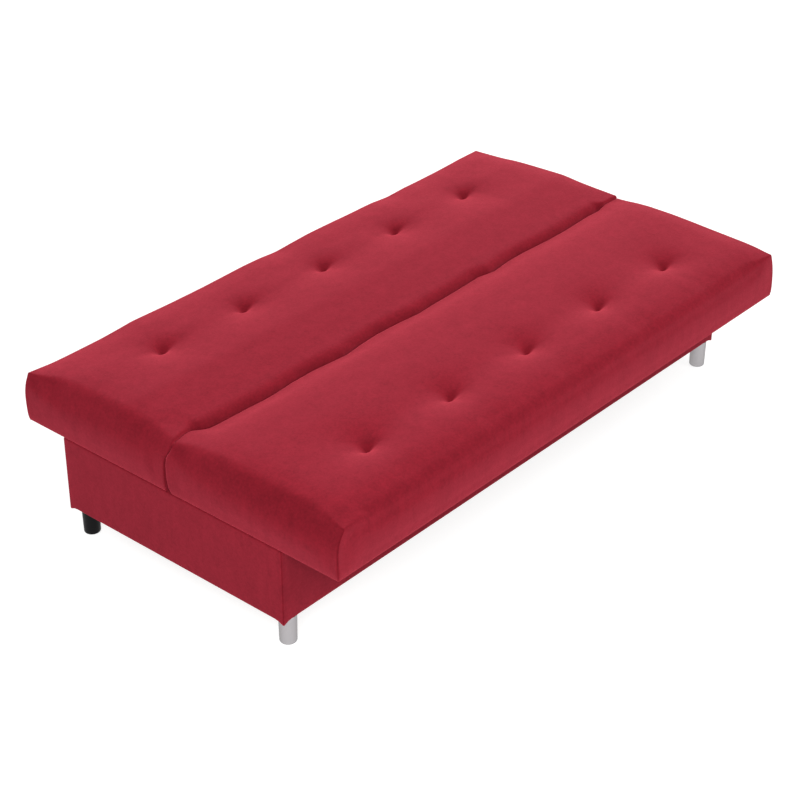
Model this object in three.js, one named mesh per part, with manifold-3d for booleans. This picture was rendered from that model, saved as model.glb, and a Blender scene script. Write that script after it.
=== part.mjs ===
// A click clack sofa bed, laid flat as a bed: seat and back lie level on a bedding box.
// Millimetres, +Z up, +X along the sofa, -Y to the front.
// The origin is on the floor, under the middle of the outline.
import * as THREE from 'three';
import { mergeVertices } from 'three/addons/utils/BufferGeometryUtils.js';
import Module from 'manifold-3d';

const wasm = await Module();
wasm.setup();

// Outline of the bed
const LENGTH = 1920;
const BED_DEPTH = 1134;
const SEAT_DEPTH = 585;
const LEG_HEIGHT = 86;
const BOX_HEIGHT = 218;
const BOX_FRONT_SETBACK = 192;
const BOX_REAR_SETBACK = 141;
const REST_GAP = 1;
const PANEL_HEIGHT = 135;

// Clearances shared by all pieces
const FIT = 0.3;
const OVERRUN = 3;

// Bedding box
const BOX_COVER = 2;
const LONG_BOARD = 12;
const END_BOARD = 18;
const FLOOR_PANEL = 5;
const DIVIDER_WIDTH = 20;
const DIVIDER_HEIGHT = 60;
const BLOCK_LENGTH = 60;
const BLOCK_DEPTH = 60;
const BLOCK_HEIGHT = 50;

// Legs and their glides
const LEG_TOP_RADIUS = 23.5;
const LEG_FOOT_RADIUS = 22;
const LEG_FOOT_ROUND = 5;
const LEG_END_INSET = 39;
const LEG_FRONT_INSET = 24;
const LEG_REAR_INSET = 38;
const STUD_RADIUS = 4;
const STUD_LENGTH = 38;
const GLIDE_RADIUS = 16;
const GLIDE_THICKNESS = 4;
const GLIDE_STAND = 1;

// Frames of the seat and the back
const END_WADDING = 10;
const OUTER_WADDING = 10;
const JOINT_WADDING = 4;
const RAIL = 20;
const RAIL_HEIGHT = 80;
const CHANNEL = 36;
const SLAT_WIDTH = 70;
const SLAT_THICKNESS = 18;
const SLAT_PITCH = 440;
const DECK = 3;

// Cushions
const SEAT_CROWN = 17;
const BACK_CROWN = 23;
const SEAT_JOINT_GAP = 6;
const BACK_JOINT_GAP = 18;
const EDGE_ROLL = 6;
const END_LEAN = 19;
const OUTER_LEAN = 9;
const GROOVE_HALF_WIDTH = 24;
const TUFT_PITCH = 323;
const TUFTS_EACH_SIDE = 2;
const SEAT_TUFT_SETBACK = 195;
const BACK_TUFT_SETBACK = 198;
const TUFT_DEPTH = 20;
const TUFT_RADIUS = 17;
const DIMPLE_DEPTH = 9;
const DIMPLE_RADIUS = 60;
const WIDEST_FACET = 100;

// Click clack fittings: a crank arm and a parallel link carry the ratchet housing at each end
const HINGE_HEIGHT = 117;
const HINGE_TRAVEL = 168;
const ARM_DROP = 192;
const LINK_OFFSET = 40;
const LAYER_GAP = 0.4;
const BACK_PLATE = 4;
const ARM = 5;
const HOUSING = 6;
const LINK = 4;
const SEAT_PLATE = 4;
const BRACKET = 4;
const EYE_RADIUS = 13;
const ARM_FOOT_RADIUS = 15;
const LINK_RADIUS = 10;
const HOUSING_RADIUS = 42;
const HINGE_PIN_RADIUS = 6;
const HINGE_COLLAR_RADIUS = 9;
const ARM_PIVOT_RADIUS = 6;
const ARM_BOSS_RADIUS = 11;
const LINK_PIVOT_RADIUS = 5;
const LINK_BOSS_RADIUS = 9;
const PIVOT_HEAD_RADIUS = 9;
const PIVOT_HEAD = 2.5;
const PLATE_ARM_RADIUS = 12;
const PLATE_ARM_REACH = 190;
const PLATE_ARM_OFFSET = 30;
const PLATE_ARM_DROP = 75;
const SCREW_HOLE_RADIUS = 3;
const SCREW_PITCH = 70;
const BRACKET_RADIUS = 18;
const BRACKET_SPREAD = 60;
const BRACKET_DROP = 58;
const POCKET_CLEARANCE = 2;
const POCKET_REACH = 72;

// Facets of round pieces
const ROUND_STEPS = 24;
const HULL_STEPS = 16;
const FOOT_STEPS = 3;

// Places that follow from the sizes
const HALF_LENGTH = LENGTH / 2;
const FRONT = -BED_DEPTH / 2;
const REAR = BED_DEPTH / 2;
const BOX_FRONT = FRONT + BOX_FRONT_SETBACK;
const BOX_REAR = REAR - BOX_REAR_SETBACK;
const BOX_BOTTOM = LEG_HEIGHT;
const BOX_TOP = LEG_HEIGHT + BOX_HEIGHT;
const PANEL_BOTTOM = BOX_TOP + REST_GAP;
const HINGE = { y: FRONT + SEAT_DEPTH, z: PANEL_BOTTOM + HINGE_HEIGHT };
const ARM_PIVOT = { y: HINGE.y + HINGE_TRAVEL / 2, z: HINGE.z - ARM_DROP };
const RAIL_OUTER = HALF_LENGTH - END_WADDING - FIT;
const RAIL_INNER = RAIL_OUTER - RAIL;
const INNER_RAIL_OUTER = RAIL_INNER - CHANNEL;
const INNER_RAIL_INNER = INNER_RAIL_OUTER - RAIL;
const RAIL_TOP = PANEL_BOTTOM + RAIL_HEIGHT;
const DECK_TOP = RAIL_TOP + FIT + DECK;
const BOARD_OUTER = HALF_LENGTH - BOX_COVER - FIT;
const BOARD_INNER = BOARD_OUTER - END_BOARD;
const BOARD_BOTTOM = BOX_BOTTOM + FLOOR_PANEL + FIT;
const BOARD_FRONT = BOX_FRONT + BOX_COVER + FIT;
const BOARD_REAR = BOX_REAR - BOX_COVER - FIT;
const ROOM_FRONT = BOARD_FRONT + LONG_BOARD;
const ROOM_REAR = BOARD_REAR - LONG_BOARD;
const LEG_X = HALF_LENGTH - LEG_END_INSET;
const LEG_FRONT_Y = BOX_FRONT + LEG_FRONT_INSET;
const LEG_REAR_Y = BOX_REAR - LEG_REAR_INSET;

// Layers of the fittings, from the outer rail inwards
const BACK_PLATE_OUT = RAIL_INNER - FIT;
const ARM_OUT = BACK_PLATE_OUT - BACK_PLATE - LAYER_GAP;
const HOUSING_OUT = ARM_OUT - ARM - LAYER_GAP;
const LINK_OUT = HOUSING_OUT - HOUSING - LAYER_GAP;
const SEAT_PLATE_OUT = INNER_RAIL_OUTER + FIT + SEAT_PLATE;
const BRACKET_OUT = BOARD_INNER - FIT;

function finish(name, color, roughness, metalness) {
  const material = new THREE.MeshStandardMaterial({ color, roughness, metalness });
  material.name = name;
  return material;
}

const velour = finish('velour', 0x962634, 0.9, 0);
const particleBoard = finish('particle board', 0xb08a5c, 0.75, 0);
const pine = finish('pine', 0xcfa670, 0.65, 0);
const hardboard = finish('hardboard', 0x7d5a38, 0.7, 0);
const steel = finish('zinc plated steel', 0xa8abae, 0.4, 0.9);
const chrome = finish('satin chrome', 0xbdb8ba, 0.25, 1);
const blackPlastic = finish('black plastic', 0x141414, 0.45, 0);
const glidePlastic = finish('glide plastic', 0x55504c, 0.8, 0);

const sofaBed = new THREE.Group();

function place(group, name, geometry, material) {
  const mesh = new THREE.Mesh(geometry, material);
  mesh.name = name;
  group.add(mesh);
  return mesh;
}

function board(group, name, material, x, y, z) {
  const geometry = new THREE.BoxGeometry(x[1] - x[0], y[1] - y[0], z[1] - z[0]);
  const mesh = place(group, name, geometry, material);
  mesh.position.set((x[0] + x[1]) / 2, (y[0] + y[1]) / 2, (z[0] + z[1]) / 2);
  return mesh;
}

// The two ends are alike: pieces are built for the right end and mirrored for the left one.
function endGroup(side) {
  const group = new THREE.Group();
  group.scale.x = side;
  sofaBed.add(group);
  return group;
}

const ENDS = [['left', -1], ['right', 1]];

// Joining and cutting
function solidOf(geometry) {
  const bare = geometry.index ? geometry.toNonIndexed() : geometry.clone();
  bare.deleteAttribute('normal');
  bare.deleteAttribute('uv');
  const merged = mergeVertices(bare);
  const mesh = new wasm.Mesh({
    numProp: 3,
    vertProperties: merged.attributes.position.array,
    triVerts: new Uint32Array(merged.index.array),
  });
  return new wasm.Manifold(mesh);
}

function geometryOf(solid) {
  const mesh = solid.getMesh();
  const geometry = new THREE.BufferGeometry();
  geometry.setAttribute('position', new THREE.BufferAttribute(mesh.vertProperties, mesh.numProp));
  geometry.setIndex(new THREE.BufferAttribute(mesh.triVerts, 1));
  const flat = geometry.toNonIndexed();
  flat.computeVertexNormals();
  return flat;
}

function joined(...geometries) {
  const solids = geometries.map(solidOf);
  return geometryOf(solids.reduce((whole, piece) => whole.add(piece)));
}

function cut(geometry, ...tools) {
  const solids = tools.map(solidOf);
  return geometryOf(solids.reduce((whole, tool) => whole.subtract(tool), solidOf(geometry)));
}

function block(x, y, z) {
  const geometry = new THREE.BoxGeometry(x[1] - x[0], y[1] - y[0], z[1] - z[0]);
  return geometry.translate((x[0] + x[1]) / 2, (y[0] + y[1]) / 2, (z[0] + z[1]) / 2);
}

// Flat steel parts: outlines drawn in Y and Z, with their thickness along X
function roundHole(y, z, radius) {
  return new THREE.Path().absarc(y, z, radius, 0, 2 * Math.PI, true);
}

// The tight outline around a few discs, walked anticlockwise.
function hullShape(discs) {
  const points = [];
  for (const [y, z, radius] of discs) {
    for (let step = 0; step < HULL_STEPS; step += 1) {
      const turn = (2 * Math.PI * step) / HULL_STEPS;
      points.push(new THREE.Vector2(y + radius * Math.cos(turn), z + radius * Math.sin(turn)));
    }
  }
  points.sort((a, b) => a.x - b.x || a.y - b.y);
  const turnsLeft = (a, b, c) => (b.x - a.x) * (c.y - a.y) - (b.y - a.y) * (c.x - a.x) > 0;
  const halfHull = (list) => {
    const chain = [];
    for (const point of list) {
      while (chain.length > 1 && !turnsLeft(chain.at(-2), chain.at(-1), point)) {
        chain.pop();
      }
      chain.push(point);
    }
    return chain.slice(0, -1);
  };
  return new THREE.Shape([...halfHull(points), ...halfHull([...points].reverse())]);
}

function sheetMetal(shape, thickness) {
  return new THREE.ExtrudeGeometry(shape, {
    depth: thickness,
    bevelEnabled: false,
    curveSegments: ROUND_STEPS / 2,
  });
}

const ACROSS = new THREE.Matrix4().makeBasis(
  new THREE.Vector3(0, 1, 0),
  new THREE.Vector3(0, 0, 1),
  new THREE.Vector3(1, 0, 0),
);

// Stands a flat part on edge at a pivot, with its outer face at the given X.
function standOnEdge(mesh, outerFace, thickness, pivot) {
  mesh.setRotationFromMatrix(ACROSS);
  mesh.position.set(outerFace - thickness, pivot.y, pivot.z);
}

// A turned part, its profile given as radius and height, with the height along local Z
function turned(profile) {
  const points = profile.map(([radius, height]) => new THREE.Vector2(radius, height));
  return new THREE.LatheGeometry(points, ROUND_STEPS).rotateX(Math.PI / 2);
}

// Bedding box
function boxRange(side) {
  return side < 0 ? [BOARD_FRONT, ROOM_FRONT] : [ROOM_REAR, BOARD_REAR];
}

function makeBeddingBox() {
  const height = [BOARD_BOTTOM, BOX_TOP];
  const wide = [-BOARD_OUTER, BOARD_OUTER];
  board(sofaBed, 'box_front_board', particleBoard, wide, boxRange(-1), height);
  board(sofaBed, 'box_rear_board', particleBoard, wide, boxRange(1), height);
  const full = [-HALF_LENGTH, HALF_LENGTH];
  const coverHeight = [BOX_BOTTOM, BOX_TOP];
  board(sofaBed, 'box_front_cover', velour, full, [BOX_FRONT, BOX_FRONT + BOX_COVER], coverHeight);
  board(sofaBed, 'box_rear_cover', velour, full, [BOX_REAR - BOX_COVER, BOX_REAR], coverHeight);
  const inside = [ROOM_FRONT + FIT, ROOM_REAR - FIT];
  for (const [end, side] of ENDS) {
    const group = endGroup(side);
    const boardWidth = [BOARD_INNER, BOARD_OUTER];
    board(group, `box_${end}_board`, particleBoard, boardWidth, inside, height);
    const coverWidth = [HALF_LENGTH - BOX_COVER, HALF_LENGTH];
    const coverDepth = [BOARD_FRONT, BOARD_REAR];
    board(group, `box_${end}_cover`, velour, coverWidth, coverDepth, coverHeight);
  }
  const middle = [-DIVIDER_WIDTH / 2, DIVIDER_WIDTH / 2];
  board(sofaBed, 'box_divider', pine, middle, inside, [BOARD_BOTTOM, BOARD_BOTTOM + DIVIDER_HEIGHT]);
}

const studHole = (x, y) => roundHole(x, y, STUD_RADIUS + FIT);

function rectangle(x, y) {
  return new THREE.Shape([
    new THREE.Vector2(x[0], y[0]),
    new THREE.Vector2(x[1], y[0]),
    new THREE.Vector2(x[1], y[1]),
    new THREE.Vector2(x[0], y[1]),
  ]);
}

// The hardboard floor is nailed under the boards, and the leg studs pass through it.
function makeBoxFloor() {
  const shape = rectangle([-BOARD_OUTER, BOARD_OUTER], [BOARD_FRONT, BOARD_REAR]);
  for (const [, side] of ENDS) {
    shape.holes.push(studHole(side * LEG_X, LEG_FRONT_Y));
    shape.holes.push(studHole(side * LEG_X, LEG_REAR_Y));
  }
  const floor = place(sofaBed, 'box_floor', sheetMetal(shape, FLOOR_PANEL), hardboard);
  floor.position.z = BOX_BOTTOM;
}

// Each leg screws up through the floor into a block glued in the corner of the box.
function makeCorner(group, end, row, legY, blockY) {
  const blockX = [BOARD_INNER - FIT - BLOCK_LENGTH, BOARD_INNER - FIT];
  const shape = rectangle(blockX, blockY);
  shape.holes.push(studHole(LEG_X, legY));
  const name = `corner_block_${row}_${end}`;
  const corner = place(group, name, sheetMetal(shape, BLOCK_HEIGHT), pine);
  corner.position.z = BOARD_BOTTOM;
}

function footRound() {
  const points = [];
  for (let step = 0; step <= FOOT_STEPS; step += 1) {
    const turn = (Math.PI / 2) * (step / FOOT_STEPS);
    const radius = LEG_FOOT_RADIUS - LEG_FOOT_ROUND * (1 - Math.sin(turn));
    points.push([radius, GLIDE_STAND + LEG_FOOT_ROUND * (1 - Math.cos(turn))]);
  }
  return points;
}

function makeLeg(group, end, row, legY, material) {
  const recess = GLIDE_THICKNESS + FIT;
  const shoulder = LEG_HEIGHT - FIT;
  const profile = [
    [0, recess],
    [GLIDE_RADIUS + FIT, recess],
    [GLIDE_RADIUS + FIT, GLIDE_STAND],
    ...footRound(),
    [LEG_TOP_RADIUS, shoulder],
    [STUD_RADIUS, shoulder],
    [STUD_RADIUS, shoulder + STUD_LENGTH],
    [0, shoulder + STUD_LENGTH],
  ];
  const leg = place(group, `leg_${row}_${end}`, turned(profile), material);
  leg.position.set(LEG_X, legY, 0);
  const disc = [[0, 0], [GLIDE_RADIUS, 0], [GLIDE_RADIUS, GLIDE_THICKNESS], [0, GLIDE_THICKNESS]];
  const glide = place(group, `leg_glide_${row}_${end}`, turned(disc), glidePlastic);
  glide.position.set(LEG_X, legY, 0);
}

function makeLegs() {
  const frontBlock = [ROOM_FRONT + FIT, ROOM_FRONT + FIT + BLOCK_DEPTH];
  const rearBlock = [ROOM_REAR - FIT - BLOCK_DEPTH, ROOM_REAR - FIT];
  for (const [end, side] of ENDS) {
    const group = endGroup(side);
    makeCorner(group, end, 'front', LEG_FRONT_Y, frontBlock);
    makeCorner(group, end, 'rear', LEG_REAR_Y, rearBlock);
    makeLeg(group, end, 'front', LEG_FRONT_Y, chrome);
    makeLeg(group, end, 'rear', LEG_REAR_Y, blackPlastic);
  }
}

// Fittings at one end. The steel bracket on the box carries two riveted pivots.
function makeBracket(group, end) {
  const plate = sheetMetal(
    hullShape([
      [0, 0, BRACKET_RADIUS],
      [-LINK_OFFSET, 0, BRACKET_RADIUS],
      [-BRACKET_SPREAD, -BRACKET_DROP, PLATE_ARM_RADIUS],
      [BRACKET_SPREAD, -BRACKET_DROP, PLATE_ARM_RADIUS],
    ]),
    BRACKET,
  );
  const innerFace = BRACKET_OUT - BRACKET;
  const armSeat = ARM_OUT + LAYER_GAP - innerFace;
  const armEnd = ARM_OUT - ARM - LAYER_GAP - innerFace;
  const armPivot = turned([
    [0, armEnd - PIVOT_HEAD],
    [PIVOT_HEAD_RADIUS, armEnd - PIVOT_HEAD],
    [PIVOT_HEAD_RADIUS, armEnd],
    [ARM_PIVOT_RADIUS, armEnd],
    [ARM_PIVOT_RADIUS, armSeat],
    [ARM_BOSS_RADIUS, armSeat],
    [ARM_BOSS_RADIUS, BRACKET / 2],
    [0, BRACKET / 2],
  ]);
  const linkSeat = LINK_OUT + LAYER_GAP - innerFace;
  const linkEnd = LINK_OUT - LINK - LAYER_GAP - innerFace;
  const linkPivot = turned([
    [0, linkEnd - PIVOT_HEAD],
    [PIVOT_HEAD_RADIUS, linkEnd - PIVOT_HEAD],
    [PIVOT_HEAD_RADIUS, linkEnd],
    [LINK_PIVOT_RADIUS, linkEnd],
    [LINK_PIVOT_RADIUS, linkSeat],
    [LINK_BOSS_RADIUS, linkSeat],
    [LINK_BOSS_RADIUS, BRACKET / 2],
    [0, BRACKET / 2],
  ]).translate(-LINK_OFFSET, 0, 0);
  const bracket = place(group, `box_bracket_${end}`, joined(plate, armPivot, linkPivot), steel);
  standOnEdge(bracket, BRACKET_OUT, BRACKET, ARM_PIVOT);
}

function makeArm(group, end) {
  const reach = -HINGE_TRAVEL / 2;
  const shape = hullShape([[0, 0, ARM_FOOT_RADIUS], [reach, ARM_DROP, EYE_RADIUS]]);
  shape.holes.push(roundHole(0, 0, ARM_PIVOT_RADIUS + FIT));
  shape.holes.push(roundHole(reach, ARM_DROP, HINGE_PIN_RADIUS + FIT));
  const arm = place(group, `swing_arm_${end}`, sheetMetal(shape, ARM), steel);
  standOnEdge(arm, ARM_OUT, ARM, ARM_PIVOT);
}

function makeGuideLink(group, end) {
  const reach = -HINGE_TRAVEL / 2;
  const shape = hullShape([[0, 0, LINK_RADIUS], [reach, ARM_DROP, LINK_RADIUS]]);
  shape.holes.push(roundHole(0, 0, LINK_PIVOT_RADIUS + FIT));
  shape.holes.push(roundHole(reach, ARM_DROP, LINK_PIVOT_RADIUS + FIT));
  const link = place(group, `guide_link_${end}`, sheetMetal(shape, LINK), steel);
  standOnEdge(link, LINK_OUT, LINK, { y: ARM_PIVOT.y - LINK_OFFSET, z: ARM_PIVOT.z });
}

// The ratchet housing is a quarter disc below the hinge, with an ear for the parallel link.
function makeHousing(group, end) {
  const quarter = [];
  for (let step = 0; step <= HULL_STEPS; step += 1) {
    const turn = -Math.PI / 4 - (Math.PI / 2) * (step / HULL_STEPS);
    const y = (HOUSING_RADIUS - LINK_RADIUS) * Math.cos(turn);
    const z = (HOUSING_RADIUS - LINK_RADIUS) * Math.sin(turn);
    quarter.push([y, z, LINK_RADIUS]);
  }
  const ear = [-LINK_OFFSET, 0, PLATE_ARM_RADIUS];
  const shape = hullShape([[0, 0, EYE_RADIUS], ear, ...quarter]);
  shape.holes.push(roundHole(0, 0, HINGE_PIN_RADIUS + FIT));
  shape.holes.push(roundHole(-LINK_OFFSET, 0, LINK_PIVOT_RADIUS + FIT));
  const housing = place(group, `ratchet_housing_${end}`, sheetMetal(shape, HOUSING), steel);
  standOnEdge(housing, HOUSING_OUT, HOUSING, HINGE);
}

// A cranked plate: an eye at the hinge and an arm screwed along the rail.
function crankedPlate(direction, thickness) {
  const knee = [direction * PLATE_ARM_OFFSET, -PLATE_ARM_DROP, PLATE_ARM_RADIUS];
  const tip = [direction * PLATE_ARM_REACH, -PLATE_ARM_DROP, PLATE_ARM_RADIUS];
  const eye = hullShape([[0, 0, EYE_RADIUS], knee]);
  eye.holes.push(roundHole(0, 0, HINGE_PIN_RADIUS + FIT));
  const arm = hullShape([knee, tip]);
  arm.holes.push(roundHole(tip[0], tip[1], SCREW_HOLE_RADIUS));
  arm.holes.push(roundHole(tip[0] - direction * SCREW_PITCH, tip[1], SCREW_HOLE_RADIUS));
  return joined(sheetMetal(eye, thickness), sheetMetal(arm, thickness));
}

function makePlates(group, end) {
  const backPlate = place(group, `back_plate_${end}`, crankedPlate(1, BACK_PLATE), steel);
  standOnEdge(backPlate, BACK_PLATE_OUT, BACK_PLATE, HINGE);
  const seatPlate = place(group, `seat_plate_${end}`, crankedPlate(-1, SEAT_PLATE), steel);
  standOnEdge(seatPlate, SEAT_PLATE_OUT, SEAT_PLATE, HINGE);
}

// The hinge pin runs through back plate, arm, housing and seat plate, with a spacing collar.
function makePins(group, end) {
  const pinStart = SEAT_PLATE_OUT - SEAT_PLATE;
  const collar = [SEAT_PLATE_OUT + LAYER_GAP - pinStart, HOUSING_OUT - HOUSING - FIT - pinStart];
  const length = BACK_PLATE_OUT - pinStart;
  const pin = place(
    group,
    `hinge_pin_${end}`,
    turned([
      [0, 0],
      [HINGE_PIN_RADIUS, 0],
      [HINGE_PIN_RADIUS, collar[0]],
      [HINGE_COLLAR_RADIUS, collar[0]],
      [HINGE_COLLAR_RADIUS, collar[1]],
      [HINGE_PIN_RADIUS, collar[1]],
      [HINGE_PIN_RADIUS, length],
      [0, length],
    ]),
    steel,
  );
  pin.setRotationFromMatrix(ACROSS);
  pin.position.set(pinStart, HINGE.y, HINGE.z);
  const rivetStart = LINK_OUT - LINK - LAYER_GAP - PIVOT_HEAD;
  const shankEnd = HOUSING_OUT + FIT - rivetStart;
  const rivet = place(
    group,
    `link_rivet_${end}`,
    turned([
      [0, 0],
      [LINK_BOSS_RADIUS, 0],
      [LINK_BOSS_RADIUS, PIVOT_HEAD],
      [LINK_PIVOT_RADIUS, PIVOT_HEAD],
      [LINK_PIVOT_RADIUS, shankEnd],
      [LINK_BOSS_RADIUS, shankEnd],
      [LINK_BOSS_RADIUS, shankEnd + PIVOT_HEAD],
      [0, shankEnd + PIVOT_HEAD],
    ]),
    steel,
  );
  rivet.setRotationFromMatrix(ACROSS);
  rivet.position.set(rivetStart, HINGE.y - LINK_OFFSET, HINGE.z);
}

function makeFittings() {
  for (const [end, side] of ENDS) {
    const group = endGroup(side);
    makeBracket(group, end);
    makeArm(group, end);
    makeGuideLink(group, end);
    makeHousing(group, end);
    makePlates(group, end);
    makePins(group, end);
  }
}

// Seat and back are alike: a frame of rails and slats, a deck and a tufted cushion.
// Direction is +1 where the joint lies towards the rear, as on the seat.
const SEAT = {
  name: 'seat',
  direction: 1,
  outer: FRONT,
  joint: HINGE.y - SEAT_JOINT_GAP,
  jointLean: GROOVE_HALF_WIDTH - SEAT_JOINT_GAP,
  crown: SEAT_CROWN,
  tuftLine: FRONT + SEAT_TUFT_SETBACK,
  pocketTop: EYE_RADIUS + POCKET_CLEARANCE,
};
const BACK = {
  name: 'back',
  direction: -1,
  outer: REAR,
  joint: HINGE.y + BACK_JOINT_GAP,
  jointLean: GROOVE_HALF_WIDTH - BACK_JOINT_GAP,
  crown: BACK_CROWN,
  tuftLine: REAR - BACK_TUFT_SETBACK,
  pocketTop: 0,
};

const ordered = (a, b) => (a < b ? [a, b] : [b, a]);

function makeFrame(panel) {
  const { name, direction } = panel;
  const outer = panel.outer + direction * (OUTER_WADDING + FIT);
  const joint = panel.joint - direction * (JOINT_WADDING + FIT);
  const height = [PANEL_BOTTOM, RAIL_TOP];
  const longX = [-RAIL_INNER + FIT, RAIL_INNER - FIT];
  board(sofaBed, `${name}_outer_rail`, pine, longX, ordered(outer, outer + direction * RAIL), height);
  const jointX = [-INNER_RAIL_INNER + FIT, INNER_RAIL_INNER - FIT];
  board(sofaBed, `${name}_joint_rail`, pine, jointX, ordered(joint - direction * RAIL, joint), height);
  const behindOuter = outer + direction * (RAIL + FIT);
  for (const [end, side] of ENDS) {
    const group = endGroup(side);
    board(group, `${name}_end_rail_${end}`, pine, [RAIL_INNER, RAIL_OUTER], ordered(outer, joint), height);
    const inner = [INNER_RAIL_INNER, INNER_RAIL_OUTER];
    board(group, `${name}_inner_rail_${end}`, pine, inner, ordered(behindOuter, joint), height);
  }
  const slatEnd = joint - direction * (RAIL + FIT);
  const slatHeight = [RAIL_TOP - SLAT_THICKNESS, RAIL_TOP];
  ['left', 'middle', 'right'].forEach((spot, index) => {
    const centre = (index - 1) * SLAT_PITCH;
    const width = [centre - SLAT_WIDTH / 2, centre + SLAT_WIDTH / 2];
    board(sofaBed, `${name}_slat_${spot}`, pine, width, ordered(behindOuter, slatEnd), slatHeight);
  });
  const deckX = [-INNER_RAIL_OUTER, INNER_RAIL_OUTER];
  board(sofaBed, `${name}_deck`, hardboard, deckX, ordered(outer, joint), [DECK_TOP - DECK, DECK_TOP]);
}

// Rows of a cushion wall from the bottom edge up: height, then how far each kind of side leans in
function wallRows(panel) {
  return [
    { height: 0, end: 0, outer: 0, joint: 0, bow: 0 },
    { height: HINGE_HEIGHT - HINGE_COLLAR_RADIUS, end: END_LEAN / 4, outer: 0, joint: 0, bow: 0 },
    { height: HINGE_HEIGHT, end: END_LEAN / 2, outer: OUTER_LEAN / 3, joint: 0, bow: 1 / 2 },
    {
      height: PANEL_HEIGHT - EDGE_ROLL,
      end: END_LEAN,
      outer: OUTER_LEAN,
      joint: panel.jointLean,
      bow: 1,
    },
  ];
}

// Splits every stretch that is wider than a facet may be.
function filled(lines) {
  const sorted = [...new Set(lines)].sort((a, b) => a - b);
  const result = [sorted[0]];
  for (let index = 1; index < sorted.length; index += 1) {
    const width = sorted[index] - sorted[index - 1];
    const parts = Math.ceil(width / WIDEST_FACET);
    for (let part = 1; part <= parts; part += 1) {
      result.push(sorted[index - 1] + (width * part) / parts);
    }
  }
  return result;
}

const TUFT_LINE_SHARES = [-4, -2.2, -1, 0, 1, 2.2, 4];
const EDGE_LINE_SHARES = [1, 3.5];

function tuftCentres(panel) {
  const centres = [];
  for (let count = -TUFTS_EACH_SIDE; count <= TUFTS_EACH_SIDE; count += 1) {
    centres.push([count * TUFT_PITCH, panel.tuftLine]);
  }
  return centres;
}

function cushionTop(panel, x, y) {
  const share = (y - panel.outer) / (panel.joint - panel.outer);
  let height = PANEL_HEIGHT + panel.crown * (1 - (2 * share - 1) ** 2);
  for (const [tuftX, tuftY] of tuftCentres(panel)) {
    const distance = (x - tuftX) ** 2 + (y - tuftY) ** 2;
    height -= TUFT_DEPTH * Math.exp(-distance / (2 * TUFT_RADIUS ** 2));
    height -= DIMPLE_DEPTH * Math.exp(-distance / (2 * DIMPLE_RADIUS ** 2));
  }
  return PANEL_BOTTOM + height;
}

function cushionLines(panel) {
  const roll = 2 * EDGE_ROLL;
  const topEnd = HALF_LENGTH - END_LEAN;
  const x = [-topEnd, topEnd];
  EDGE_LINE_SHARES.forEach((share) => x.push(share * roll - topEnd, topEnd - share * roll));
  for (const [tuftX] of tuftCentres(panel)) {
    TUFT_LINE_SHARES.forEach((share) => x.push(tuftX + share * TUFT_RADIUS));
  }
  const outerRing = panel.outer + panel.direction * OUTER_LEAN;
  const jointRing = panel.joint - panel.direction * panel.jointLean;
  const y = [outerRing, jointRing];
  EDGE_LINE_SHARES.forEach((share) => y.push(outerRing + panel.direction * share * roll));
  y.push(jointRing - panel.direction * GROOVE_HALF_WIDTH);
  y.push(jointRing - 2 * panel.direction * GROOVE_HALF_WIDTH);
  TUFT_LINE_SHARES.forEach((share) => y.push(panel.tuftLine + share * TUFT_RADIUS));
  return { x: filled(x), y: filled(y) };
}

// A closed cushion: a crowned, tufted top, walls that lean in, and a flat underside
function cushionShell(panel) {
  const lines = cushionLines(panel);
  const rows = wallRows(panel);
  const last = { x: lines.x.length - 1, y: lines.y.length - 1 };
  const lowSide = panel.direction > 0 ? 'outer' : 'joint';
  const highSide = panel.direction > 0 ? 'joint' : 'outer';
  const positions = [];
  const triangles = [];
  const addPoint = (x, y, z) => positions.push(x, y, z) / 3 - 1;
  const wallPoint = (row, i, j) => {
    let x = lines.x[i];
    let y = lines.y[j];
    if (i === 0) x = row.end - HALF_LENGTH;
    if (i === last.x) x = HALF_LENGTH - row.end;
    if (j === 0) y = panel[lowSide] + row[lowSide];
    if (j === last.y) y = panel[highSide] - row[highSide];
    const bow = cushionTop(panel, x, y) - PANEL_BOTTOM - PANEL_HEIGHT;
    return addPoint(x, y, PANEL_BOTTOM + row.height + row.bow * Math.max(bow, 0));
  };
  const rim = [];
  for (let i = 0; i < last.x; i += 1) rim.push([i, 0]);
  for (let j = 0; j < last.y; j += 1) rim.push([last.x, j]);
  for (let i = last.x; i > 0; i -= 1) rim.push([i, last.y]);
  for (let j = last.y; j > 0; j -= 1) rim.push([0, j]);
  const rings = rows.map((row) => rim.map(([i, j]) => wallPoint(row, i, j)));
  const topIndex = new Map(rim.map(([i, j], index) => [`${i} ${j}`, rings.at(-1)[index]]));
  for (let i = 1; i < last.x; i += 1) {
    for (let j = 1; j < last.y; j += 1) {
      const z = cushionTop(panel, lines.x[i], lines.y[j]);
      topIndex.set(`${i} ${j}`, addPoint(lines.x[i], lines.y[j], z));
    }
  }
  const top = (i, j) => topIndex.get(`${i} ${j}`);
  for (let i = 0; i < last.x; i += 1) {
    for (let j = 0; j < last.y; j += 1) {
      const corners = [top(i, j), top(i + 1, j), top(i + 1, j + 1), top(i, j + 1)];
      triangles.push(corners[0], corners[1], corners[2], corners[0], corners[2], corners[3]);
    }
  }
  const underside = addPoint(0, (panel.outer + panel.joint) / 2, PANEL_BOTTOM);
  rim.forEach((_, index) => {
    const next = (index + 1) % rim.length;
    for (let level = 1; level < rings.length; level += 1) {
      const [low, high] = [rings[level - 1], rings[level]];
      triangles.push(low[index], low[next], high[next], low[index], high[next], high[index]);
    }
    triangles.push(underside, rings[0][next], rings[0][index]);
  });
  const geometry = new THREE.BufferGeometry();
  geometry.setAttribute('position', new THREE.Float32BufferAttribute(positions, 3));
  geometry.setIndex(triangles);
  return geometry;
}

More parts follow.
